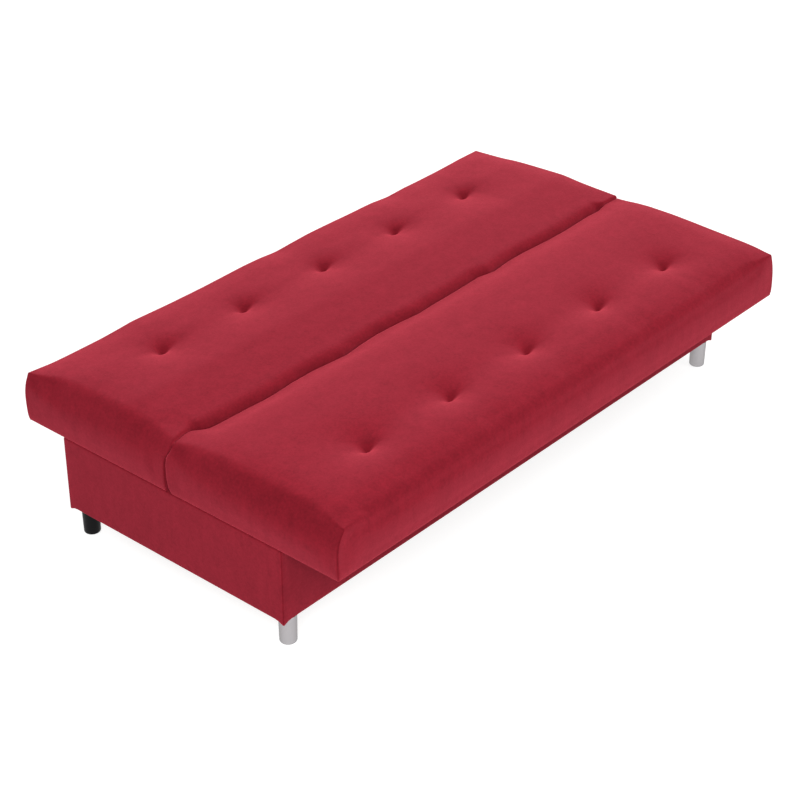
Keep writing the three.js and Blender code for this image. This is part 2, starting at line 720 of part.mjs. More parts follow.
// The frame sits in a recess under the cushion, and the fittings in a pocket at each end.
function makeCushion(panel) {
  const { direction } = panel;
  const insideOuter = panel.outer + direction * OUTER_WADDING;
  const insideJoint = panel.joint - direction * JOINT_WADDING;
  const recess = block(
    [-RAIL_OUTER - FIT, RAIL_OUTER + FIT],
    ordered(insideOuter, insideJoint),
    [PANEL_BOTTOM - OVERRUN, DECK_TOP + FIT],
  );
  const pocketX = [INNER_RAIL_OUTER - FIT, RAIL_INNER + POCKET_CLEARANCE];
  const pocketY = ordered(
    HINGE.y - direction * POCKET_REACH,
    HINGE.y + direction * (EYE_RADIUS + POCKET_CLEARANCE),
  );
  const pocketZ = [PANEL_BOTTOM - OVERRUN, HINGE.z + panel.pocketTop];
  const eyePocket = turned([
    [0, pocketX[0]],
    [EYE_RADIUS + POCKET_CLEARANCE, pocketX[0]],
    [EYE_RADIUS + POCKET_CLEARANCE, pocketX[1]],
    [0, pocketX[1]],
  ]).applyMatrix4(ACROSS).translate(0, HINGE.y, HINGE.z);
  const tools = [recess];
  for (const [, side] of ENDS) {
    const x = ordered(side * pocketX[0], side * pocketX[1]);
    tools.push(block(x, pocketY, pocketZ));
    const shift = side < 0 ? -pocketX[0] - pocketX[1] : 0;
    tools.push(eyePocket.clone().translate(shift, 0, 0));
  }
  const shell = cut(cushionShell(panel), ...tools);
  place(sofaBed, `${panel.name}_cushion`, shell, velour);
}

makeBeddingBox();
makeBoxFloor();
makeLegs();
makeFittings();
for (const panel of [SEAT, BACK]) {
  makeFrame(panel);
  makeCushion(panel);
}

export default sofaBed;
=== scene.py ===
"""Click clack sofa bed, laid flat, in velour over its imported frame. Metres, in the frame's own axes."""

import math

import bpy
import numpy as np
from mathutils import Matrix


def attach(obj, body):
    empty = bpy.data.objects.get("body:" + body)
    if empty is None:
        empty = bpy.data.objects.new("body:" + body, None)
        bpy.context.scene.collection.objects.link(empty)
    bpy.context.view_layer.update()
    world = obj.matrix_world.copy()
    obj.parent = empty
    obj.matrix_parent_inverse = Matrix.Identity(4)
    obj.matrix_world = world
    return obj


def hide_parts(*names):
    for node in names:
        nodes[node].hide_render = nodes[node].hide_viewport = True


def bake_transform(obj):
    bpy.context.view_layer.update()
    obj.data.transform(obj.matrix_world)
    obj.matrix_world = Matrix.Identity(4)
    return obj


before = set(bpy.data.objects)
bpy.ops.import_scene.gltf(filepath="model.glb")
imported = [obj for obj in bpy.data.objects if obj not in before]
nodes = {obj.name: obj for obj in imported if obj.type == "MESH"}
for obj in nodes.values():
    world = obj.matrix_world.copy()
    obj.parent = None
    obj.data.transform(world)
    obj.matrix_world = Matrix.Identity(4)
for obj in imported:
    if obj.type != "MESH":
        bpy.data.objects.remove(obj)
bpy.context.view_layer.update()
scene = bpy.context.scene
MM = 0.001


# Camera: where the photograph was taken from, its tilt and turn in degrees, its lens in millimetres
CAMERA_PLACE = (-3.81011, -3.22959, 3.17112)
CAMERA_TILT, CAMERA_TURN = 58.8356, -49.0714
FOCAL_LENGTH, SENSOR_WIDTH = 91.09, 36.0


def make_camera():
    lens = bpy.data.cameras.new("camera")
    lens.lens = FOCAL_LENGTH
    lens.sensor_width = SENSOR_WIDTH
    camera = bpy.data.objects.new("camera", lens)
    scene.collection.objects.link(camera)
    camera.location = CAMERA_PLACE
    camera.rotation_euler = (math.radians(CAMERA_TILT), 0.0, math.radians(CAMERA_TURN))
    scene.camera = camera


make_camera()
# Nodes of a material
def put(tree, kind, values=None, **settings):
    """Adds one node. A value that is a socket is linked, anything else is set."""
    node = tree.nodes.new(kind)
    for key, value in settings.items():
        setattr(node, key, value)
    for key, value in (values or {}).items():
        if isinstance(value, bpy.types.NodeSocket):
            tree.links.new(value, node.inputs[key])
        else:
            node.inputs[key].default_value = value
    return node


def math_node(tree, operation, a, b=0.0, clamp=False):
    node = put(tree, "ShaderNodeMath", {0: a, 1: b}, operation=operation)
    node.use_clamp = clamp
    return node.outputs[0]


def noise(tree, place, scale, detail=2.0, roughness=0.5, distortion=0.0):
    values = {"Vector": place, "Scale": scale, "Detail": detail}
    values.update({"Roughness": roughness, "Distortion": distortion})
    return put(tree, "ShaderNodeTexNoise", values).outputs["Fac"]


def stretched(tree, place, scale):
    return put(tree, "ShaderNodeMapping", {"Vector": place, "Scale": scale}).outputs[0]


def new_group(name, inputs, outputs):
    """A shared effect. Inputs are name: start value, with None for a place."""
    tree = bpy.data.node_groups.new(name, "ShaderNodeTree")
    for label, start in inputs.items():
        kind = "NodeSocketVector" if start is None else "NodeSocketFloat"
        socket = tree.interface.new_socket(name=label, in_out="INPUT", socket_type=kind)
        if start is not None:
            socket.default_value = start
    for label in outputs:
        tree.interface.new_socket(name=label, in_out="OUTPUT", socket_type="NodeSocketFloat")
    entry = tree.nodes.new("NodeGroupInput").outputs
    leave = tree.nodes.new("NodeGroupOutput").inputs
    return tree, entry, leave


def centred(tree, value, strength):
    """A noise value turned into a swing of plus or minus half its strength."""
    return math_node(tree, "MULTIPLY", math_node(tree, "SUBTRACT", value, 0.5), strength)


# Stretch of the brush marks, and how much finer the pile is than its mottling
BRUSH_STRETCH = (34.0, 34.0, 9.0)
FINE_PILE = 7.0


def make_nap():
    """Pile of a cloth: fine mottling, soft clouds where it was stroked, and brush marks that run down."""
    inputs = {"Place": None, "Grain": 300.0, "Grain Depth": 0.2, "Clouds": 30.0}
    inputs.update({"Cloud Depth": 0.2, "Brush Depth": 0.1})
    tree, entry, leave = new_group("nap", inputs, ("Shade", "Height"))
    place = entry["Place"]
    grain = noise(tree, place, entry["Grain"], detail=4.0, roughness=0.72)
    clouds = noise(tree, place, entry["Clouds"], detail=3.0, roughness=0.6, distortion=0.6)
    brushed = stretched(tree, place, BRUSH_STRETCH)
    brush = noise(tree, brushed, 1.0, detail=3.0, roughness=0.6, distortion=0.4)
    shade = math_node(tree, "ADD", centred(tree, grain, entry["Grain Depth"]), 1.0)
    shade = math_node(tree, "ADD", shade, centred(tree, clouds, entry["Cloud Depth"]))
    shade = math_node(tree, "ADD", shade, centred(tree, brush, entry["Brush Depth"]))
    fine = noise(tree, place, math_node(tree, "MULTIPLY", entry["Grain"], FINE_PILE))
    tree.links.new(shade, leave["Shade"])
    tree.links.new(math_node(tree, "ADD", grain, fine), leave["Height"])
    return tree


# Wood: scale of its bends and its pores, and how much rings, pores and bends count
BEND_SCALE, PORE_SCALE = 3.0, 220.0
RING_SHARE, PORE_SHARE, BEND_SHARE = 0.6, 0.4, 0.3


def make_grain():
    """Growth rings of sawn wood, drawn out along the piece by the place that comes in."""
    inputs = {"Place": None, "Rings": 60.0, "Depth": 0.5}
    tree, entry, leave = new_group("wood_grain", inputs, ("Shade", "Height"))
    place = entry["Place"]
    bend = noise(tree, place, BEND_SCALE)
    values = {"Vector": place, "Scale": entry["Rings"], "Distortion": 2.5}
    rings = put(tree, "ShaderNodeTexWave", values, bands_direction="Y").outputs["Fac"]
    pores = noise(tree, place, PORE_SCALE, detail=3.0, roughness=0.7)
    rings = math_node(tree, "MULTIPLY", rings, RING_SHARE)
    pores = math_node(tree, "MULTIPLY", pores, PORE_SHARE)
    both = math_node(tree, "ADD", rings, pores)
    both = math_node(tree, "ADD", both, centred(tree, bend, BEND_SHARE))
    shade = math_node(tree, "ADD", centred(tree, both, entry["Depth"]), 1.0)
    tree.links.new(shade, leave["Shade"])
    tree.links.new(both, leave["Height"])
    return tree


# How much finer the dust is than the chips
FINE_DUST = 3.0
def make_chips():
    """Pressed chips or crystals: cells with their own tone, and a fine roughness between them."""
    inputs = {"Place": None, "Cells": 300.0, "Cell Depth": 0.4, "Dust Depth": 0.2}
    tree, entry, leave = new_group("chips", inputs, ("Shade", "Height"))
    place = entry["Place"]
    cells = put(tree, "ShaderNodeTexVoronoi", {"Vector": place, "Scale": entry["Cells"]}).outputs["Color"]
    tone = put(tree, "ShaderNodeSeparateColor", {"Color": cells}).outputs["Red"]
    dust_scale = math_node(tree, "MULTIPLY", entry["Cells"], FINE_DUST)
    dust = noise(tree, place, dust_scale, detail=3.0, roughness=0.7)
    shade = math_node(tree, "ADD", centred(tree, tone, entry["Cell Depth"]), 1.0)
    shade = math_node(tree, "ADD", shade, centred(tree, dust, entry["Dust Depth"]))
    tree.links.new(shade, leave["Shade"])
    tree.links.new(math_node(tree, "ADD", tone, dust), leave["Height"])
    return tree


NAP, GRAIN, CHIPS = make_nap(), make_grain(), make_chips()


def new_finish(name, settings):
    """A material with a Principled shader, its plain numbers set on the shader's own sockets."""
    material = bpy.data.materials.new(name)
    material.use_nodes = True
    tree = material.node_tree
    tree.nodes.clear()
    surface = tree.nodes.new("ShaderNodeBsdfPrincipled")
    for key, value in settings.items():
        surface.inputs[key].default_value = value
    output = tree.nodes.new("ShaderNodeOutputMaterial")
    tree.links.new(surface.outputs[0], output.inputs["Surface"])
    place = tree.nodes.new("ShaderNodeTexCoord").outputs["Object"]
    return material, tree, surface, place


def effect(tree, group, place, values):
    node = tree.nodes.new("ShaderNodeGroup")
    node.node_tree = group
    tree.links.new(place, node.inputs["Place"])
    for key, value in values.items():
        node.inputs[key].default_value = value
    return node.outputs["Shade"], node.outputs["Height"]


def shaded(tree, colour, shade):
    """A colour made darker or lighter by a value about one."""
    node = put(tree, "ShaderNodeVectorMath", {0: colour, "Scale": shade}, operation="SCALE")
    return node.outputs[0]


def bumped(tree, surface, height, strength, distance):
    values = {"Height": height, "Strength": strength, "Distance": distance}
    bump = put(tree, "ShaderNodeBump", values)
    tree.links.new(bump.outputs[0], surface.inputs["Normal"])


# The pile's colour with painted sheen: darkest where one looks straight down into it, lighter where it is
# seen at a slant; share turned away, then colour
PILE_AND_SHEEN_TONES = (
    (0.00, (0.150, 0.0055, 0.0120)),
    (0.18, (0.165, 0.0066, 0.0138)),
    (0.36, (0.212, 0.0098, 0.0195)),
    (0.50, (0.240, 0.0160, 0.0285)),
    (0.75, (0.288, 0.0235, 0.0385)),
    (1.00, (0.280, 0.0250, 0.0410)),
)


# How much the seam mark darkens the pile, at the corner seams and as painted shade down the joint's wall,
# and the power of the painted shade on metal where it turns away from the eye
SEAM_AND_SHADE_DARKENING = 0.22
PAINTED_RIM_POWER = 2.2


# Every finish, by the name of its slot
FINISHES = {}


def make_velour():
    settings = {"Roughness": 0.9, "Specular IOR Level": 0.06, "Sheen Weight": 0.6}
    settings.update({"Sheen Roughness": 0.5, "Sheen Tint": (1.0, 0.10, 0.15, 1.0)})
    material, tree, surface, place = new_finish("velour", settings)
    values = {"Grain": 135.0, "Grain Depth": 0.85, "Clouds": 24.0, "Cloud Depth": 0.30}
    values["Brush Depth"] = 0.42
    shade, height = effect(tree, NAP, place, values)
    # Painted sheen: the base colour is picked by how far the surface turns away from the eye
    facing = put(tree, "ShaderNodeLayerWeight", {"Blend": 0.5}).outputs["Facing"]
    pile_and_sheen = put(tree, "ShaderNodeValToRGB", {"Fac": facing})
    tones = pile_and_sheen.color_ramp.elements
    while len(tones) < len(PILE_AND_SHEEN_TONES):
        tones.new(0.5)
    for tone, (turned_away, colour) in zip(tones, PILE_AND_SHEEN_TONES):
        tone.position = turned_away
        tone.color = (*colour, 1.0)
    colour = shaded(tree, pile_and_sheen.outputs["Color"], shade)
    # The seam mark darkens the corner seams and paints shade down the joint's wall
    seam_and_shade = put(tree, "ShaderNodeAttribute", attribute_name="seam_and_shade").outputs["Fac"]
    dark = math_node(tree, "SUBTRACT", 1.0, math_node(tree, "MULTIPLY", seam_and_shade, SEAM_AND_SHADE_DARKENING))
    tree.links.new(shaded(tree, colour, dark), surface.inputs["Base Color"])
    bumped(tree, surface, height, 0.4, 0.0006)
    FINISHES["velour"] = material


def plain_finish(name, colour, group, values, settings, bump, stretch=None, rough=0.0, edge=0.0):
    """One effect shades and bumps the colour. Rough varies the gloss, edge paints dark reflection where the
    surface turns away from the eye.
    """
    material, tree, surface, place = new_finish(name, settings)
    if stretch is not None:
        place = stretched(tree, place, stretch)
    shade, height = effect(tree, group, place, values)
    tone = shaded(tree, colour, shade)
    if rough:
        level = math_node(tree, "MULTIPLY", shade, rough, clamp=True)
        tree.links.new(level, surface.inputs["Roughness"])
    if edge:
        # Painted reflection: the colour darkens where the surface turns away from the eye
        facing = put(tree, "ShaderNodeLayerWeight", {"Blend": 0.5}).outputs["Facing"]
        dark = math_node(tree, "MULTIPLY", math_node(tree, "POWER", facing, PAINTED_RIM_POWER), edge)
        tone = shaded(tree, tone, math_node(tree, "SUBTRACT", 1.0, dark))
    tree.links.new(tone, surface.inputs["Base Color"])
    bumped(tree, surface, height, *bump)
    FINISHES[name] = material


make_velour()
plain_finish(
    "dust_cover", (0.012, 0.012, 0.013), NAP,
    {"Grain": 900.0, "Grain Depth": 0.8, "Clouds": 60.0, "Cloud Depth": 0.5, "Brush Depth": 0.0},
    {"Roughness": 0.85, "Specular IOR Level": 0.3},
    bump=(0.5, 0.0003),
)
plain_finish(
    "pine", (0.56, 0.38, 0.20), GRAIN,
    {"Rings": 40.0, "Depth": 0.45},
    {"Roughness": 0.7, "Specular IOR Level": 0.3},
    bump=(0.3, 0.0004), stretch=(0.35, 1.6, 1.6),
)
plain_finish(
    "particle_board", (0.50, 0.36, 0.21), CHIPS,
    {"Cells": 330.0, "Cell Depth": 0.55, "Dust Depth": 0.35},
    {"Roughness": 0.85, "Specular IOR Level": 0.25},
    bump=(0.5, 0.0005),
)
plain_finish(
    "hardboard", (0.23, 0.12, 0.06), CHIPS,
    {"Cells": 900.0, "Cell Depth": 0.25, "Dust Depth": 0.5},
    {"Roughness": 0.6, "Specular IOR Level": 0.4},
    bump=(0.3, 0.0003),
)
plain_finish(
    "zinc_steel", (0.60, 0.61, 0.60), CHIPS,
    {"Cells": 110.0, "Cell Depth": 0.22, "Dust Depth": 0.10},
    {"Metallic": 1.0, "Roughness": 0.38},
    bump=(0.15, 0.0002), rough=0.38,
)
# The legs' metal gets painted dark reflection at its rims, where it turns away from the eye
plain_finish(
    "satin_chrome", (0.42, 0.405, 0.415), NAP,
    {"Grain": 500.0, "Grain Depth": 0.10, "Clouds": 12.0, "Cloud Depth": 0.08, "Brush Depth": 0.05},
    {"Metallic": 0.95, "Roughness": 0.36},
    bump=(0.08, 0.0001), stretch=(1.0, 1.0, 0.08), rough=0.36, edge=0.75,
)
plain_finish(
    "black_plastic", (0.004, 0.004, 0.0045), CHIPS,
    {"Cells": 1500.0, "Cell Depth": 0.2, "Dust Depth": 0.3},
    {"Roughness": 0.42, "Specular IOR Level": 0.10},
    bump=(0.12, 0.0001),
)
plain_finish(
    "glide_plastic", (0.05, 0.05, 0.052), CHIPS,
    {"Cells": 1200.0, "Cell Depth": 0.2, "Dust Depth": 0.3},
    {"Roughness": 0.55, "Specular IOR Level": 0.4},
    bump=(0.15, 0.0001),
)
# Meshes
def new_piece(name, points, faces, finish, smooth=True, sharp=None):
    mesh = bpy.data.meshes.new(name)
    mesh.from_pydata(np.asarray(points, float).tolist(), [], [list(face) for face in faces])
    mesh.update()
    piece = bpy.data.objects.new(name, mesh)
    scene.collection.objects.link(piece)
    mesh.materials.append(FINISHES[finish])
    if smooth:
        mesh.polygons.foreach_set("use_smooth", [True] * len(mesh.polygons))
    if sharp is not None:
        mesh.set_sharp_from_angle(angle=math.radians(sharp))
    return piece


def block_mesh(low, high):
    """Corners and faces of one box."""
    (x0, y0, z0), (x1, y1, z1) = low, high
    points = [(x, y, z) for z in (z0, z1) for y in (y0, y1) for x in (x0, x1)]
    faces = [(0, 2, 3, 1), (4, 5, 7, 6), (0, 1, 5, 4), (2, 6, 7, 3), (0, 4, 6, 2), (1, 3, 7, 5)]
    return points, faces


def pocket_mesh(low, high, part=0.004):
    """A box in strips along Y, the part given as their spacing."""
    (x0, y0, z0), (x1, y1, z1) = low, high
    places = np.linspace(y0, y1, math.ceil((y1 - y0) / part) + 1)
    points = [(x, y, z) for y in places for x, z in ((x0, z0), (x1, z0), (x1, z1), (x0, z1))]
    faces = [(0, 1, 2, 3), tuple(len(points) - 1 - k for k in range(4))]
    for first in range(0, len(points) - 4, 4):
        for k in range(4):
            n = (k + 1) % 4
            faces.append((first + k, first + 4 + k, first + 4 + n, first + n))
    return points, faces


def rod_mesh(x0, x1, y, z, radius, steps=72):
    """A round rod along X."""
    turns = [2 * math.pi * step / steps for step in range(steps)]
    points = [(x, y + radius * math.cos(t), z + radius * math.sin(t)) for x in (x0, x1) for t in turns]
    faces = [(k, (k + 1) % steps, steps + (k + 1) % steps, steps + k) for k in range(steps)]
    faces.append(tuple(reversed(range(steps))))
    faces.append(tuple(range(steps, 2 * steps)))
    return points, faces


def cut_away(piece, shapes):
    """Cuts solid shapes out of a piece and applies the result."""
    for points, faces in shapes:
        tool = new_piece("cutter", points, faces, "velour", smooth=False)
        modifier = piece.modifiers.new("cut", "BOOLEAN")
        modifier.operation = "DIFFERENCE"
        modifier.solver = "MANIFOLD"
        modifier.object = tool
        apply_modifiers(piece)
        bpy.data.objects.remove(tool)


def apply_modifiers(piece):
    graph = bpy.context.evaluated_depsgraph_get()
    shown = piece.evaluated_get(graph)
    mesh = bpy.data.meshes.new_from_object(shown, preserve_all_data_layers=True, depsgraph=graph)
    old = piece.data
    piece.modifiers.clear()
    piece.data = mesh
    mesh.name = piece.name
    bpy.data.meshes.remove(old)


# Seat and back covers, in millimetres until the mesh is made
HALF = 960.0
HEM = 304.4
PANEL_BOTTOM, PANEL_TOP = 305.0, 440.0
# The hinge's line, in metres: Y and Z
HINGE = (0.018, 0.422)
# Each panel: outer edge and joint along Y, crown from the outer edge inwards, tufts, radii of the rolled
# edges, lean of the left end at the corner and by the joint, dip of the edge beside a tuft, setback of
# the joint wall at each height, and the top of the pockets for the fittings, in metres
SEAT = {
    "name": "seat",
    "outer": -567.0,
    "joint": 12.0,
    "top": (
        (0, 5), (19, 8), (62, 16), (104, 20), (146, 22), (232, 23),
        (363, 26), (452, 24), (496, 20), (541, 14), (579, 10),
    ),
    "tufts": (-639.0, -314.0, 11.0, 336.0, 658.0),
    "tuft_line": -372.0,
    "outer_roll": 30.0,
    "joint_roll": 5.0,
    "left_lean": (23.0, 6.9),
    "edge_dip": 1.5,
    "joint_wall": (
        (304, 3), (312, -2), (340, -14), (365, -21), (383, -24),
        (400, -22), (415, -16), (426, -7), (434, 0.5), (470, 2),
    ),
    "joint_wall_end": (
        (304, -2), (318, -8), (346, -12), (382, -13), (412, -13), (426, -7), (434, 0.5), (470, 2),
    ),
    "pocket_top": 0.437,
}
BACK = {
    "name": "back",
    "outer": 567.0,
    "joint": 36.0,
    "top": (
        (0, 10), (20, 12), (70, 17), (119, 21), (168, 26), (217, 28),
        (361, 31), (408, 27), (455, 24), (490, 21), (531, 17),
    ),
    "tufts": (-640.0, -329.0, -1.0, 315.0, 641.0),
    "tuft_line": 369.0,
    "outer_roll": 9.0,
    "joint_roll": 26.0,
    "left_lean": (11.0, 6.9),
    "edge_dip": 0.5,
    "joint_wall": (
        (304, 2.5), (320, 1), (334, 0), (363, 3), (383, 3),
        (400, 1), (412, -4), (420, -9), (430, -12.5), (470, -15),
    ),
    "joint_wall_end": (
        (304, -7), (330, -9), (346, -9.5), (382, -10),
        (412, -11.5), (424, -18), (434, -23.5), (470, -25),
    ),
    "pocket_top": 0.422,
}
# How far back the line between seat and back lies, along the sofa bed, and its zero
CREASE = (
    (-960, 7), (-888, 22), (-867, 18), (-840, -2), (-818, -6), (-700, -8), (-640, -11),
    (-592, -10), (-534, -5), (-452, -4), (-324, -14), (-258, -6), (-190, -2), (-111, -4),
    (-20, -11), (36, -8), (150, -5), (255, 0), (314, -11), (391, -3), (458, -2), (586, -8),
    (656, -8), (785, -2), (837, -4), (892, 6), (960, 3),
)
CREASE_ZERO = 11.0
# How much higher or lower the rear rim stands, along the sofa bed
REAR_RIM = (
    (-960, -3), (-873, -6), (-702, -4), (-583, 3), (-430, 0), (-273, 1), (-142, 4), (-76, 3),
    (-8, -1), (129, 5), (200, 5), (418, 3), (494, -3), (570, 0), (726, 0), (847, 3), (960, 0),
)


def smoothed_table(pairs, low, high, window, step=1.0):
    """A table of places and values, read off at even steps with its corners smoothed."""
    places = np.arange(low, high + step, step)
    values = np.interp(places, *zip(*pairs))
    half = int(window / step / 2)
    padded = np.concatenate([np.full(half, values[0]), values, np.full(half, values[-1])])
    return places, np.convolve(padded, np.ones(2 * half + 1) / (2 * half + 1), "valid")


for panel in (SEAT, BACK):
    for wall in ("joint_wall", "joint_wall_end"):
        panel[wall] = smoothed_table(panel[wall], 300.0, 475.0, window=8.0)
    width = abs(panel["joint"] - panel["outer"])
    panel["top_line"] = smoothed_table(panel["top"], 0.0, width, window=36.0)
CREASE_LINE = smoothed_table(CREASE, -HALF, HALF, window=14.0)
RIM_LINE = smoothed_table(REAR_RIM, -HALF, HALF, window=30.0)
def smooth(t):
    t = np.clip(t, 0.0, 1.0)
    return t * t * (3.0 - 2.0 * t)


def fade(distance, reach):
    """One at no distance, none from its reach on."""
    return 1.0 - smooth(distance / reach)


def bell(distance, reach):
    """One at no distance, falling off on both sides."""
    return np.exp(-((distance / reach) ** 2))


def roll(distance, radius):
    """How far a rounded edge drops at a distance in from the side."""
    left = radius - np.minimum(distance, radius)
    return radius - np.sqrt(np.maximum(radius**2 - left**2, 0.0))


def inward(panel):
    """The way from a panel's outer edge to its joint, as plus or minus one along Y."""
    return 1.0 if panel["outer"] < panel["joint"] else -1.0


def distances(panel, x, y):
    """How far in from the left end, the right end, the outer edge and the joint."""
    return x + HALF, HALF - x, np.abs(y - panel["outer"]), np.abs(panel["joint"] - y)


# A tuft: depth and reach of its funnel, its dimple and the wide hollow round them
FUNNEL_DEPTH, FUNNEL_REACH, FUNNEL_POWER = 19.0, 11.0, 1.3
DIMPLE_DEPTH, DIMPLE_REACH = 10.0, 50.0
HOLLOW_DEPTH, HOLLOW_REACH = 2.5, 105.0
# How much longer the funnel and the dimple are along the sofa bed than across it
FUNNEL_LENGTH, DIMPLE_LENGTH = 1.9, 1.3
# Folds that run out of a tuft: angle and depth, and how far each tuft's folds are turned
FOLDS = ((10.0, 1.0), (155.0, 1.2), (68.0, 3.6), (112.0, 2.8), (-85.0, 1.2))
FOLD_TURNS = (7.0, -6.0, 4.0, -9.0, 2.0)
FOLD_WIDTH, FOLD_WIDENS, FOLD_REACH, FOLD_START = 7.0, 0.24, 38.0, 10.0


def tuft_drop(dx, dy, turn):
    """A tuft pulled down by its twine: funnel, dimple, wide hollow and the folds that run out of it."""
    core = np.hypot(dx / FUNNEL_LENGTH, dy)
    away = np.hypot(dx / DIMPLE_LENGTH, dy)
    drop = FUNNEL_DEPTH * np.exp(-((core / FUNNEL_REACH) ** FUNNEL_POWER))
    drop = drop + DIMPLE_DEPTH * bell(away, DIMPLE_REACH) + HOLLOW_DEPTH * bell(away, HOLLOW_REACH)
    for angle, depth in FOLDS:
        a = math.radians(angle + turn)
        along = dx * math.cos(a) + dy * math.sin(a)
        across = -dx * math.sin(a) + dy * math.cos(a)
        out = np.maximum(along, 0.0)
        ridge = depth * bell(across, FOLD_WIDTH + FOLD_WIDENS * out)
        drop += ridge * np.exp(-out / FOLD_REACH) * (1 - bell(out, FOLD_START))
    return drop


# Rolled edges: radius at the left and right end and at the corners, and how soon it grows from there
END_ROLL = {-1: 42.0, 1: 12.0}
CORNER_ROLL = 4.5
END_GROWTH, SIDE_GROWTH = 150.0, 170.0
# How much of the ends' rounding is left by the joint, and how far its edge tightens over the fittings
JOINT_ALLOWANCE, FITTING_TIGHTENS = 75.0, 0.72
# Dip in the outer edge beside a tuft, half width and reach, and reach of the rear rim's waves
DIP_WIDTH, DIP_REACH, RIM_REACH = 48.0, 170.0, 160.0
# A short pucker beside the front left corner: place, direction, depth, length and width
PUCKER_PLACE, PUCKER_WAY = (-845.0, -552.0), (0.94, 0.34)
PUCKER_DEPTH, PUCKER_LENGTH, PUCKER_WIDTH = 2.6, 17.0, 5.5


def pucker(x, y):
    dx, dy = x - PUCKER_PLACE[0], y - PUCKER_PLACE[1]
    along = dx * PUCKER_WAY[0] - dy * PUCKER_WAY[1]
    across = dx * PUCKER_WAY[1] + dy * PUCKER_WAY[0]
    return PUCKER_DEPTH * np.exp(-((along / PUCKER_LENGTH) ** 2) - ((across / PUCKER_WIDTH) ** 2))


def top_height(panel, x, y):
    left, right, outer, joint = distances(panel, x, y)
    z = PANEL_TOP + np.interp(outer, *panel["top_line"])
    rounding = smooth(np.minimum(outer, joint + JOINT_ALLOWANCE) / END_GROWTH)
    left_roll, right_roll = (CORNER_ROLL + (END_ROLL[end] - CORNER_ROLL) * rounding for end in (-1, 1))
    rounding = smooth(np.minimum(left, right) / SIDE_GROWTH)
    outer_roll = CORNER_ROLL + (panel["outer_roll"] - CORNER_ROLL) * rounding
    joint_roll = panel["joint_roll"] * (1.0 - FITTING_TIGHTENS * over_fitting(x))
    drops = [roll(left, left_roll), roll(right, right_roll)]
    drops += [roll(outer, outer_roll), roll(joint, joint_roll)]
    z = z - sum(drop**2.5 for drop in drops) ** 0.4
    for tuft, turn in zip(panel["tufts"], FOLD_TURNS):
        dx, dy = x - tuft, y - panel["tuft_line"]
        z = z - tuft_drop(dx, dy, turn)
        z = z - panel["edge_dip"] * np.exp(-((dx / DIP_WIDTH) ** 4)) * fade(outer, DIP_REACH)
    if panel is BACK:
        return z + np.interp(x, *RIM_LINE) * fade(outer, RIM_REACH)
    return z - pucker(x, y)


# End walls: the left one bellies and leans in at its top, the right one leans more evenly
LEFT_POWER, LEFT_OUT, LEFT_BELLY = 6, 2.0, 2.5
RIGHT_POWER, RIGHT_LEAN, RIGHT_IN, RIGHT_EASES = 3, 15.5, 1.5, 0.7
LEAN_EASES_WITHIN = 350.0


def end_lean(panel, end, zeta, outer):
    """How far an end wall stands inside its line: most at the outer corners' top, least by the joint."""
    inner = smooth(outer / LEAN_EASES_WITHIN)
    if end < 0:
        at_corner, at_joint = panel["left_lean"]
        lean = (at_corner + (at_joint - at_corner) * inner) * zeta**LEFT_POWER
        return lean - LEFT_OUT - LEFT_BELLY * np.sin(math.pi * zeta)
    return RIGHT_LEAN * zeta**RIGHT_POWER * (1.0 - RIGHT_EASES * inner) + RIGHT_IN


# Along X, where the fittings begin and where the joint wall takes its end shape; in height, from where
# the covers close over the fittings and where the crease's waves begin
FITTING_X, FITTING_FADE = 845.0, 45.0
WALL_END_X, WALL_END_FADE = 925.0, 12.0
CLOSING_HEIGHT = 415.0
WAVE_LOW, WAVE_FADE = 385.0, 40.0


def over_fitting(x):
    """One over the hinge fittings and out to the ends, where the covers close over them, none between."""
    return smooth((np.abs(x) - FITTING_X) / FITTING_FADE)


def crease_shift(x, z):
    """The line between seat and back waves with the tufts."""
    return (np.interp(x, *CREASE_LINE) - CREASE_ZERO) * smooth((z - WAVE_LOW) / WAVE_FADE)


def joint_setback(panel, x, z):
    """How far the joint wall stands back from its line, with a shape of its own at the ends."""
    middle = np.interp(z, *panel["joint_wall"])
    at_end = np.interp(z, *panel["joint_wall_end"])
    below = smooth((np.abs(x) - WALL_END_X) / WALL_END_FADE)
    share = np.where(z > CLOSING_HEIGHT, over_fitting(x), below)
    return middle + (at_end - middle) * share


# Upright corners: radius at the top, its gain down to the hem, and radius beside the joint
CORNER_RADIUS, CORNER_GAINS, JOINT_CORNER = 2.5, 6.0, 6.0
# Seams in the corners: depth, half width, and the share of the height where they end
SEAM_DEPTH, SEAM_WIDTH, SEAM_END = 0.4, 1.4, 0.97
# Reach of the leaning walls, and how far the outer one leans
LEAN_REACH, SETBACK_REACH, CREASE_REACH = 120.0, 60.0, 90.0
OUTER_LEAN = 2.0
# The lower edge turns under: height and depth, and both of them in the joint
TURN_HEIGHT, TURN_DEPTH, JOINT_TURN = 26.0, 5.0, 0.8
# What counts as lying in the joint's wall, and in any wall
IN_JOINT, IN_WALL = 1.0, 2.0


def corner_moves(by_end, by_side, radius, zeta):
    """How far an upright corner moves in from the end and the side, and how strong its seam is."""
    a, b = np.maximum(radius - by_end, 0.0), np.maximum(radius - by_side, 0.0)
    both = (a > 0) & (b > 0)
    scale = np.where(both, np.maximum(a, b) / np.maximum(np.hypot(a, b), 1e-9), 1.0)
    seam_and_shade = bell(np.maximum(by_end, by_side), SEAM_WIDTH) * (zeta < SEAM_END)
    return a * (1.0 - scale) + SEAM_DEPTH * seam_and_shade, b * (1.0 - scale) + SEAM_DEPTH * seam_and_shade, seam_and_shade


